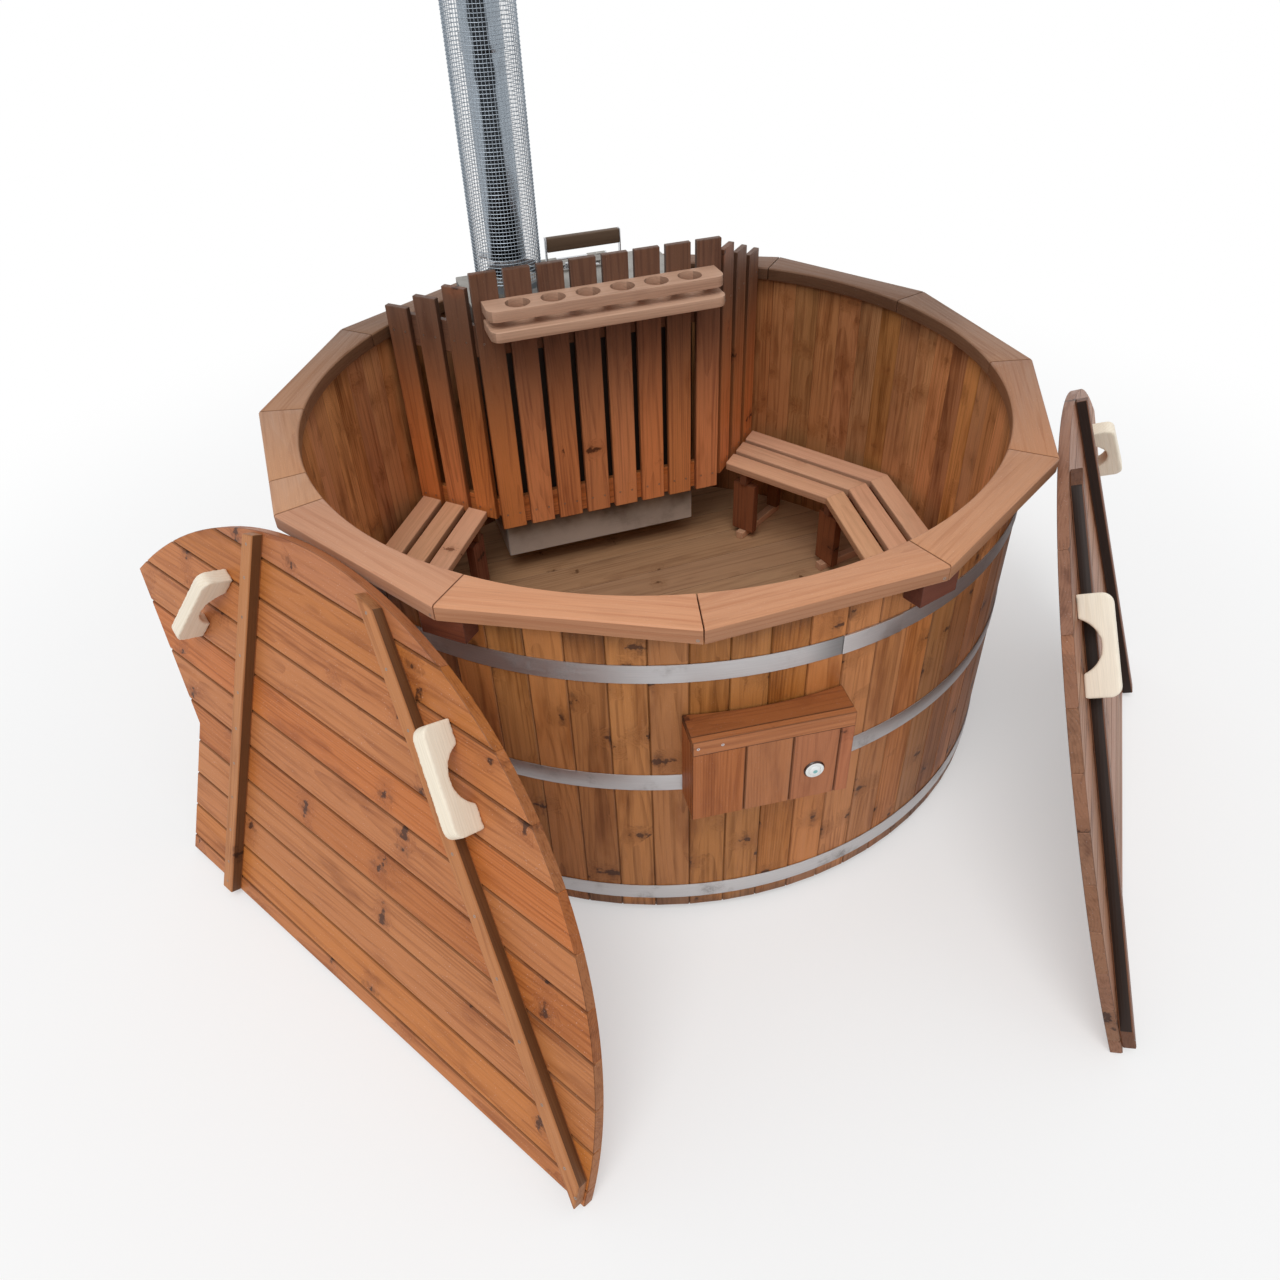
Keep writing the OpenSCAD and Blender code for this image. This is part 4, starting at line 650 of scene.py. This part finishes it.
def metalPaint(name, look):
    # drawn sheet: long fine scratches round the upright axis, with duller stained patches
    paint = Paint(name)
    where = paint.place()
    brushed = paint.stretched(where, sheetLook["brush"])
    patches = paint.noise(where, *sheetLook["patchNoise"])
    patchFrom = sheetLook["patchFrom"] - sheetLook["patchSpread"] * look["stainShare"]
    specks = paint.remap(paint.noise(where, sheetLook["speckScale"]), *sheetLook["speckSpan"],
                         sheetLook["speckLeast"], 1.0)
    stained = paint.remap(patches, patchFrom, sheetLook["patchFull"])
    stained = paint.times(stained, specks)
    dark = tuple(sheetLook["brushDark"] * part for part in look["colour"])
    colour = paint.mix(paint.remap(brushed, *noiseSpan, 0.0, sheetLook["brushShare"]),
                       look["colour"], dark)
    colour = paint.mix(paint.times(stained, sheetLook["stain"]), colour, look["stain"])
    if "lap" in look:
        colour = lapped(paint, where, colour, look["lap"])
    if "streak" in look:
        colour = streaked(paint, where, colour, look["streak"])
    if "smoke" in look:
        # painted shade: the case is dark behind the fence slats, all but its lower edge
        height = paint.split(where)[2]
        height = paint.plus(height, paint.sway(patches, sheetLook["smokeSway"]))
        share = paint.remap(height, *look["smoke"], 0.0, sheetLook["smoke"])
        colour = paint.mix(share, colour, look["smokeColour"])
    rough = paint.remap(brushed, *noiseSpan, *(look["rough"] + more for more in sheetLook["rough"]))
    rough = paint.plus(rough, paint.times(stained, sheetLook["stainRough"]))
    dents = paint.noise(where, sheetLook["dentScale"])
    relief = paint.plus(paint.times(brushed, sheetLook["scratch"]), dents)
    paint.bump(relief, sheetLook["strength"], sheetLook["depth"])
    return paint.finish(colour, rough, Metallic=look.get("metallic", 1.0))


metalPaints = {name: metalPaint(name + "Metal", look) for name, look in metals.items()}

# the air button's axis, the plain round mark on its face and the painted shadow ring round its
# bezel
buttonMark = {"turn": -76.5, "aside": 0.098, "high": 0.556, "radius": 0.0055, "edge": (0.85, 1.1),
              "share": 0.85, "colour": shade(96, 176, 176),
              "shadowRingRadius": 0.0216, "shadowRingColour": shade(58, 36, 26)}

plastics = {
    "white": {"colour": shade(236, 238, 236), "rough": 0.28, "grain": 0.0002},
    "black": {"colour": shade(26, 26, 28), "rough": 0.55, "grain": 0.0004},
    "red": {"colour": shade(150, 28, 22), "rough": 0.4, "grain": 0.0003},
}
plastics["button"] = dict(plastics["white"], mark=buttonMark)

mouldLook = {
    "dustNoise": (30, 3),   # scale and detail
    "dustSpan": (0.45, 0.75),
    "dust": 0.18,
    "dustColour": (0.7, 0.08),   # share of the plastic's colour, and grey added to it
    "roughScale": 90,
    "rough": (-0.05, 0.12),
    "grainScale": 900,
    "strength": 0.3,
}


def marked(paint, where, colour, mark):
    # the mark and the painted shadow ring are rings round the button's own axis
    x, y, z = paint.split(where)[:3]
    aside = paint.math("SUBTRACT", paint.towards(x, y, mark["turn"] + 90), mark["aside"])
    off = paint.vector("LENGTH", paint.join(aside, paint.math("SUBTRACT", z, mark["high"]), 0.0))
    inner, outer = (mark["radius"] * share for share in mark["edge"])
    colour = paint.mix(paint.remap(off, inner, outer, mark["share"], 0.0), colour, mark["colour"])
    gap = paint.math("GREATER_THAN", off, mark["shadowRingRadius"])
    return paint.mix(gap, colour, mark["shadowRingColour"])


def plasticPaint(name, look):
    paint = Paint(name)
    where = paint.place()
    dust = paint.remap(paint.noise(where, *mouldLook["dustNoise"]), *mouldLook["dustSpan"],
                       0.0, mouldLook["dust"])
    share, grey = mouldLook["dustColour"]
    colour = paint.mix(dust, look["colour"], tuple(share * part + grey for part in look["colour"]))
    if "mark" in look:
        colour = marked(paint, where, colour, look["mark"])
    rough = paint.remap(paint.noise(where, mouldLook["roughScale"]), *noiseSpan,
                        *(look["rough"] + more for more in mouldLook["rough"]))
    paint.bump(paint.noise(where, mouldLook["grainScale"]), mouldLook["strength"], look["grain"])
    return paint.finish(colour, rough)


plasticPaints = {name: plasticPaint(name + "Plastic", look) for name, look in plastics.items()}
print("metal and plastic finishes ready")


# A slanting direction that no board follows. It settles which of two like things comes first, so
# that every run draws the same grain.
slant = Vector((1, 0.37, 0.113))
slantShare = 0.001


def largestOf(things, size, middle):
    return max(things, key=lambda thing: size(thing) + slantShare * middle(thing).dot(slant))


def islands(bm):
    # the loose parts of a mesh, in their order along the slant
    groups = []
    left = set(bm.verts)
    while left:
        start = left.pop()
        group, queue = [start], [start]
        while queue:
            vert = queue.pop()
            for edge in vert.link_edges:
                other = edge.other_vert(vert)
                if other in left:
                    left.discard(other)
                    group.append(other)
                    queue.append(other)
        groups.append(group)
    return sorted(groups, key=lambda group: sum(vert.co.dot(slant) for vert in group) / len(group))


squareOn = 0.1   # the most that a long face's normal leans along the board


def boardAxes(group):
    # the longest edge runs with the grain; the largest face lies across the board's depth
    edges = {edge for vert in group for edge in vert.link_edges}
    longest = largestOf(edges, lambda edge: edge.calc_length(),
                        lambda edge: edge.verts[0].co + edge.verts[1].co)
    along = (longest.verts[1].co - longest.verts[0].co).normalized()
    if along.dot(slant) < 0:
        along.negate()
    faces = {face for vert in group for face in vert.link_faces}
    flat = [face for face in faces if abs(face.normal.dot(along)) < squareOn]
    largest = largestOf(flat or faces, lambda face: face.calc_area(),
                        lambda face: face.calc_center_median())
    deep = largest.normal.copy()
    deep = (deep - along * deep.dot(along)).normalized()
    return along, deep.cross(along), deep


# welding distance in metres, and angles in degrees: below "flat" faces join, above "sharp" an edge
# is eased, and above the last two an edge shades hard
meshLook = {"weld": 0.00003, "flat": 0.6, "sharpWood": 30, "sharpMetal": 35,
            "hardWood": 20, "hardRound": 60, "hardMetal": 32, "hardScrew": 30, "hardWire": 40}


def copyNode(node, easing, segments, keepAngle, longOnly=0):
    # a merged copy of a node's mesh with its sharp edges eased, or only those that run with the
    # grain
    bm = bmesh.new()
    bm.from_mesh(nodes[node].data)
    bmesh.ops.remove_doubles(bm, verts=bm.verts, dist=meshLook["weld"])
    bmesh.ops.dissolve_limit(bm, angle_limit=radians(meshLook["flat"]), verts=bm.verts,
                             edges=bm.edges)
    sharp = [edge for edge in bm.edges if len(edge.link_faces) == 2
             and edge.calc_face_angle(0) > radians(keepAngle)]
    sharp = [edge for edge in sharp if edge.calc_length() > longOnly]
    if easing > 0 and sharp:
        bmesh.ops.bevel(bm, geom=sharp, offset=easing, offset_type="OFFSET", segments=segments,
                        profile=0.5, affect="EDGES", clamp_overlap=True, material=-1)
    bm.normal_update()
    return bm


def shadeByAngle(bm, limit):
    for face in bm.faces:
        face.smooth = True
    for edge in bm.edges:
        edge.smooth = len(edge.link_faces) == 2 and edge.calc_face_angle(0) < radians(limit)


def boardFrames(node):
    # centre, directions and half sizes of each board of a node
    bm = copyNode(node, 0, 1, meshLook["sharpWood"])
    boards = []
    for group in islands(bm):
        axes = boardAxes(group)
        low = [min(vert.co.dot(axis) for vert in group) for axis in axes]
        high = [max(vert.co.dot(axis) for vert in group) for axis in axes]
        centre = sum(((a + b) / 2 * axis for a, b, axis in zip(low, high, axes)), Vector())
        boards.append((centre, *axes, [(b - a) / 2 for a, b in zip(low, high)]))
    bm.free()
    return boards


# the lid's handles are sanded round: a fine skin of small squares, then smoothed
sanding = {"square": 0.003, "share": 0.5, "rounds": 12}


def sanded(bm, look):
    mesh = meshOf("sandedSkin", bm)
    block = addObject("sandedBlock", mesh)
    skin = block.modifiers.new("skin", "REMESH")
    skin.mode = "VOXEL"
    skin.voxel_size = look["square"]
    smooth = block.modifiers.new("smooth", "SMOOTH")
    smooth.factor = look["share"]
    smooth.iterations = look["rounds"]
    ready = block.evaluated_get(bpy.context.evaluated_depsgraph_get())
    rounded = bmesh.new()
    rounded.from_mesh(ready.to_mesh())
    ready.to_mesh_clear()
    bpy.data.objects.remove(block)
    bpy.data.meshes.remove(mesh)
    return rounded


def makePiece(bm, name, paint, body):
    mesh = meshOf(name, bm)
    piece = addObject(name, mesh)
    mesh.materials.append(paint)
    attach(piece, body)
    return piece


def standIn(bm, node, ending, paint):
    piece = makePiece(bm, node + ending, paint, nodes[node]["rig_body"])
    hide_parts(node)


# each board's place in its tree: how far along, across and out from the pith it was cut, its tone,
# and how much its grain runs out
pithDraws = {"along": (3, 60), "across": (-0.05, 0.05), "out": (0.03, 0.11), "tone": (0, 100),
             "tilt": (-0.03, 0.03)}
# a face's share of the board's depth direction: above "top" it is a wide face, below "side" a
# narrow one, and a bevel between; and the share along the board above which it is an end
faceLook = {"top": 0.95, "side": 0.25, "end": 0.6}


def woodPiece(node, woodName, easing, segments=2, longOnly=0):
    bm = copyNode(node, easing, segments, meshLook["sharpWood"], longOnly)
    boards = None
    if woodName == "handle":
        boards = boardFrames(node)
        bm = sanded(bm, sanding)
    place = bm.verts.layers.float_vector.new("grainPlace")
    tone = bm.verts.layers.float.new("boardTone")
    arris = bm.faces.layers.float.new("arris")
    ends = bm.faces.layers.float.new("endGrain")
    sides = bm.faces.layers.float.new("boardSide")
    dice = random.Random(sum(ord(letter) * (i + 3) for i, letter in enumerate(node)))
    for group in islands(bm):
        centre = sum((vert.co for vert in group), Vector()) / len(group)
        if boards:
            # a sanded piece has no straight edges, so its axes come from the nearest plain board
            nearest = min(boards, key=lambda board: (board[0] - centre).length)
            along, across, deep = nearest[1:4]
        else:
            along, across, deep = boardAxes(group)
        pith = Vector((dice.uniform(*pithDraws["along"]), dice.uniform(*pithDraws["across"]),
                       dice.choice((-1, 1)) * dice.uniform(*pithDraws["out"])))
        ownTone = dice.uniform(*pithDraws["tone"])
        tilt = dice.uniform(*pithDraws["tilt"])
        for vert in group:
            off = vert.co - centre
            run = off.dot(along)
            vert[place] = pith + Vector((run, off.dot(across), off.dot(deep) + run * tilt))
            vert[tone] = ownTone
        for face in () if boards else {face for vert in group for face in vert.link_faces}:
            depth = abs(face.normal.dot(deep))
            isEnd = abs(face.normal.dot(along)) > faceLook["end"]
            face[arris] = float(faceLook["side"] < depth < faceLook["top"])
            face[ends] = float(isEnd)
            face[sides] = float(depth <= faceLook["side"] and not isEnd)
    shadeByAngle(bm, meshLook["hardRound" if boards else "hardWood"])
    standIn(bm, node, "Board", woodPaints[woodName])


def metalPiece(node, paint, easing=0.0004):
    bm = copyNode(node, easing, 2, meshLook["sharpMetal"])
    shadeByAngle(bm, meshLook["hardMetal"])
    standIn(bm, node, "Part", paint)


# node, wood, easing of its edges in metres, segments, and where given the shortest edge that is
# eased
woodNodes = (
    ("staves", "stave", 0.0006, 1), ("floor_boards", "floor", 0.001, 1),
    ("floor_bearers", "frameWood", 0.003, 1),
    ("rim_segments", "rim", 0.0018, 2), ("rim_supports", "rimBlock", 0.002, 2),
    *(("fence_" + side + part, "fence", easing, 2) for part, easing in
      (("_slats", 0.0025), ("_battens", 0.002)) for side in ("front", "left", "right")),
    ("cup_holder_top", "cup", 0.003, 3), ("cup_holder_base", "cup", 0.003, 3),
    ("cup_holder_spacers", "cup", 0.001, 1),
    *(("bench_slat_" + row, "bench", 0.004, 3, 0.15) for row in ("outer", "middle", "inner")),
    ("bench_bearers", "frameWood", 0.002, 1),
    ("bench_legs", "frameWood", 0.0025, 2), ("bench_feet", "bench", 0.002, 1),
    ("lid_grip", "grip", 0.004, 3),
    ("box_top", "boxLid", 0.002, 2), ("box_rail", "box", 0.002, 2),
    ("box_front_boards", "box", 0.001, 1),
    ("box_sides", "box", 0.0015, 1), ("box_base", "box", 0.0015, 1),
    ("lid_left_boards", "lid", 0.0012, 1), ("lid_left_battens", "lidBatten", 0.003, 2),
    ("lid_left_handles", "handle", 0),
    ("lid_right_boards", "darkLid", 0.0012, 1), ("lid_right_battens", "darkBatten", 0.003, 2),
    ("lid_right_handles", "handle", 0),
)
for node, woodName, *easing in woodNodes:
    woodPiece(node, woodName, *easing)
print("wood pieces ready:", len(woodNodes))

metalNodes = (
    ("hoop_top", "lappedHoop"), ("hoop_middle", "hoop"), ("hoop_bottom", "hoop"),
    ("hoop_lugs", "hoop"), ("hoop_bolts", "bright"), ("heater_body", "heaterWall"),
    ("heater_feet", "heater"), ("heater_top", "heater"), ("fire_grate", "soot"),
    ("ash_pan", "heater"), ("heater_hinge", "bright"), ("heater_lid", "heater"),
    ("lid_straps", "bright"), ("air_slide", "bright"), ("flue_lower", "streakedFlue"),
    ("flue_upper", "streakedFlue"), ("guard_brackets", "bright"), ("rain_cap", "bright"),
    ("drain_pipe", "plated"), ("valve_body", "plated"), ("valve_ball", "bright"),
)
for node, metal in metalNodes:
    metalPiece(node, metalPaints[metal])
mouldedEasing = 0.0006
for node, plastic in (("button_bezel", "button"), ("air_button", "button"), ("air_inlet", "white"),
                      ("air_blower", "black"), ("valve_lever", "red")):
    metalPiece(node, plasticPaints[plastic], mouldedEasing)
print("metal and plastic pieces ready")


# the wire's radius, the mesh's cells, how far in the upright wires lie, and the folded sheet hems
guardMesh = {"wire": 0.00095, "wireSides": 4, "cell": 0.0105, "inset": 2.6, "endGap": 0.002,
             "hem": 0.018, "hemThickness": 0.0012, "hemSides": 72}


def vertsOf(things):
    return [thing for thing in things if isinstance(thing, bmesh.types.BMVert)]


def edgesRound(verts):
    return list({edge for vert in verts for edge in vert.link_edges})


def buildGuard(look):
    low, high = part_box("heat_guard")
    centre = (low + high) / 2
    outer = (high.x - low.x) / 2
    tall = high.z - low.z
    halfCell = look["cell"] / 2
    uprights = round(2 * pi * outer / look["cell"])
    bm = bmesh.new()
    # one ring of wire, then copies of it up the guard
    start = Matrix.Translation((outer - look["wire"], 0, 0)) @ Matrix.Rotation(pi / 2, 4, "X")
    made = bmesh.ops.create_circle(bm, segments=look["wireSides"], radius=look["wire"],
                                   cap_ends=False, matrix=start)["verts"]
    bmesh.ops.spin(bm, geom=made + edgesRound(made), cent=(0, 0, 0), axis=(0, 0, 1), angle=2 * pi,
                   steps=uprights, use_merge=True)
    ring = list(bm.verts) + list(bm.edges) + list(bm.faces)
    for i in range(1, int(tall / look["cell"])):
        copied = bmesh.ops.duplicate(bm, geom=ring)["geom"]
        bmesh.ops.translate(bm, verts=vertsOf(copied), vec=(0, 0, i * look["cell"]))
    inside = Matrix.Translation((outer - look["inset"] * look["wire"], 0, tall / 2 - halfCell))
    for i in range(uprights):
        spot = Matrix.Rotation(2 * pi * (i + 0.5) / uprights, 4, "Z") @ inside
        bmesh.ops.create_cone(bm, cap_ends=True, segments=look["wireSides"], radius1=look["wire"],
                              radius2=look["wire"], depth=tall - look["endGap"], matrix=spot)
    bmesh.ops.recalc_face_normals(bm, faces=bm.faces)
    for z in (-halfCell, tall - halfCell - look["hem"]):
        band = bmesh.ops.create_circle(bm, segments=look["hemSides"], radius=outer, cap_ends=False,
                                       matrix=Matrix.Translation((0, 0, z)))["verts"]
        grown = bmesh.ops.extrude_edge_only(bm, edges=edgesRound(band))["geom"]
        bmesh.ops.translate(bm, verts=vertsOf(grown), vec=(0, 0, look["hem"]))
        walls = [thing for thing in grown if isinstance(thing, bmesh.types.BMFace)]
        bmesh.ops.recalc_face_normals(bm, faces=walls)
        if walls[0].normal.xy.dot(walls[0].calc_center_median().xy) < 0:
            bmesh.ops.reverse_faces(bm, faces=walls)
        bmesh.ops.solidify(bm, geom=walls, thickness=look["hemThickness"])
    bmesh.ops.translate(bm, verts=bm.verts, vec=(centre.x, centre.y, low.z + halfCell))
    shadeByAngle(bm, meshLook["hardWire"])
    piece = makePiece(bm, "guardWireMesh", metalPaints["mesh"], "tub")
    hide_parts("heat_guard")


buildGuard(guardMesh)
print("guard mesh ready")

# countersunk screws: the head's radius, how far it stands proud, its shape and its recess
screws = {"head": 0.0036, "sides": 12, "foot": 0.8, "proud": 0.0002, "deep": 0.0012,
          "recess": 0.0009, "recessRim": 0.42, "recessWall": 0.03, "notch": 0.66}


def screwShape(look):
    # a flat head with a six-pointed recess, facing +Z
    bm = bmesh.new()
    bmesh.ops.create_cone(bm, cap_ends=True, segments=look["sides"],
                          radius1=look["head"] * look["foot"], radius2=look["head"],
                          depth=look["deep"],
                          matrix=Matrix.Translation((0, 0, look["proud"] - look["deep"] / 2)))
    bm.normal_update()
    top = [face for face in bm.faces if face.normal.z > 0.9]
    bmesh.ops.inset_individual(bm, faces=top, thickness=look["head"] * look["recessRim"], depth=0)
    rim = sorted(top[0].verts, key=lambda vert: atan2(vert.co.y, vert.co.x))
    for vert in rim[::2]:
        vert.co.xy *= look["notch"]
    bmesh.ops.inset_individual(bm, faces=top, thickness=look["head"] * look["recessWall"],
                               depth=-look["recess"])
    return meshOf("screwHead", bm)


# where screws go, in metres from a board's end, mitre or upper edge, as a share of its width to
# each side, and along the box's rail; and which boards count as crossing: the least slope between
# them, how far one may stop short of the other, and the least distance from the other's end
screwPlaces = {"fromEnd": 0.028, "fromMitre": 0.011, "below": 0.009, "spread": 0.27,
               "alongRail": (0.012, 0.066), "leastSlope": 0.3, "short": 0.04, "edge": 0.004}


def crossings(node, support, look, count):
    # screws through each board of a node where it lies on a board of the support
    spots = []
    for centre, along, across, deep, half in boardFrames(node):
        for under, underAlong, underAcross, _, underHalf in boardFrames(support):
            slope = along.dot(underAcross)
            if abs(slope) < look["leastSlope"]:
                continue
            run = (under - centre).dot(underAcross) / slope
            if abs(run) > half[0] + look["short"]:
                continue
            furthest = half[0] - look["fromEnd"]
            place = centre + along * max(-furthest, min(furthest, run))
            if abs((place - under).dot(underAlong)) > underHalf[0] - look["edge"]:
                continue
            out = -deep if (under - centre).dot(deep) > 0 else deep
            for step in ((0,) if count == 1 else (-1, 1)):
                aside = across * (step * half[1] * 2 * look["spread"])
                spots.append((place + out * half[2] + aside, out))
    return spots


def rimScrews(look):
    # one in the outer side of each rim board, close to its mitre
    spots = []
    for centre, along, across, _, half in boardFrames("rim_segments"):
        out = across if across.dot(centre) > 0 else -across
        out = Vector((out.x, out.y, 0)).normalized()
        onwards = Vector((-out.y, out.x, 0))
        flat = centre + onwards * (half[0] - look["fromMitre"]) + out * half[1]
        spots.append((flat - Vector((0, 0, look["below"])), out))
    return spots


def railScrews(look):
    # two close together at the left end of the box's rail
    centre, along, across, deep, half = boardFrames("box_rail")[0]
    sides = ((across, half[1]), (-across, half[1]), (deep, half[2]), (-deep, half[2]))
    out, reach = max(sides, key=lambda side: side[0].dot(centre))
    left = -along if along.x > 0 else along
    return [(centre + left * (half[0] - step) + out * reach, out) for step in look["alongRail"]]


def addScrews(name, shape, spots, body, paint="screw"):
    bm = bmesh.new()
    for place, out in spots:
        before = len(bm.verts)
        bm.from_mesh(shape)
        bm.verts.ensure_lookup_table()
        turn = Matrix.Translation(place) @ out.to_track_quat("Z", "Y").to_matrix().to_4x4()
        bmesh.ops.transform(bm, matrix=turn, verts=bm.verts[before:])
    shadeByAngle(bm, meshLook["hardScrew"])
    makePiece(bm, name, metalPaints[paint], body)
    print(name, len(spots))


screwHead = screwShape(screws)
tubSpots = rimScrews(screwPlaces)
for side in ("front", "left", "right"):
    tubSpots += crossings("fence_" + side + "_slats", "fence_" + side + "_battens", screwPlaces, 2)
for row in ("outer", "middle", "inner"):
    tubSpots += crossings("bench_slat_" + row, "bench_bearers", screwPlaces, 2)
addScrews("tubScrews", screwHead, tubSpots, "tub")
addScrews("boxScrews", screwHead, railScrews(screwPlaces), "tub", "bright")
for side in ("left", "right"):
    lid = "lid_" + side
    spots = crossings(lid + "_battens", lid + "_boards", screwPlaces, 1)
    addScrews(side + "LidScrews", screwHead, spots, side + "_lid")
bpy.data.meshes.remove(screwHead)
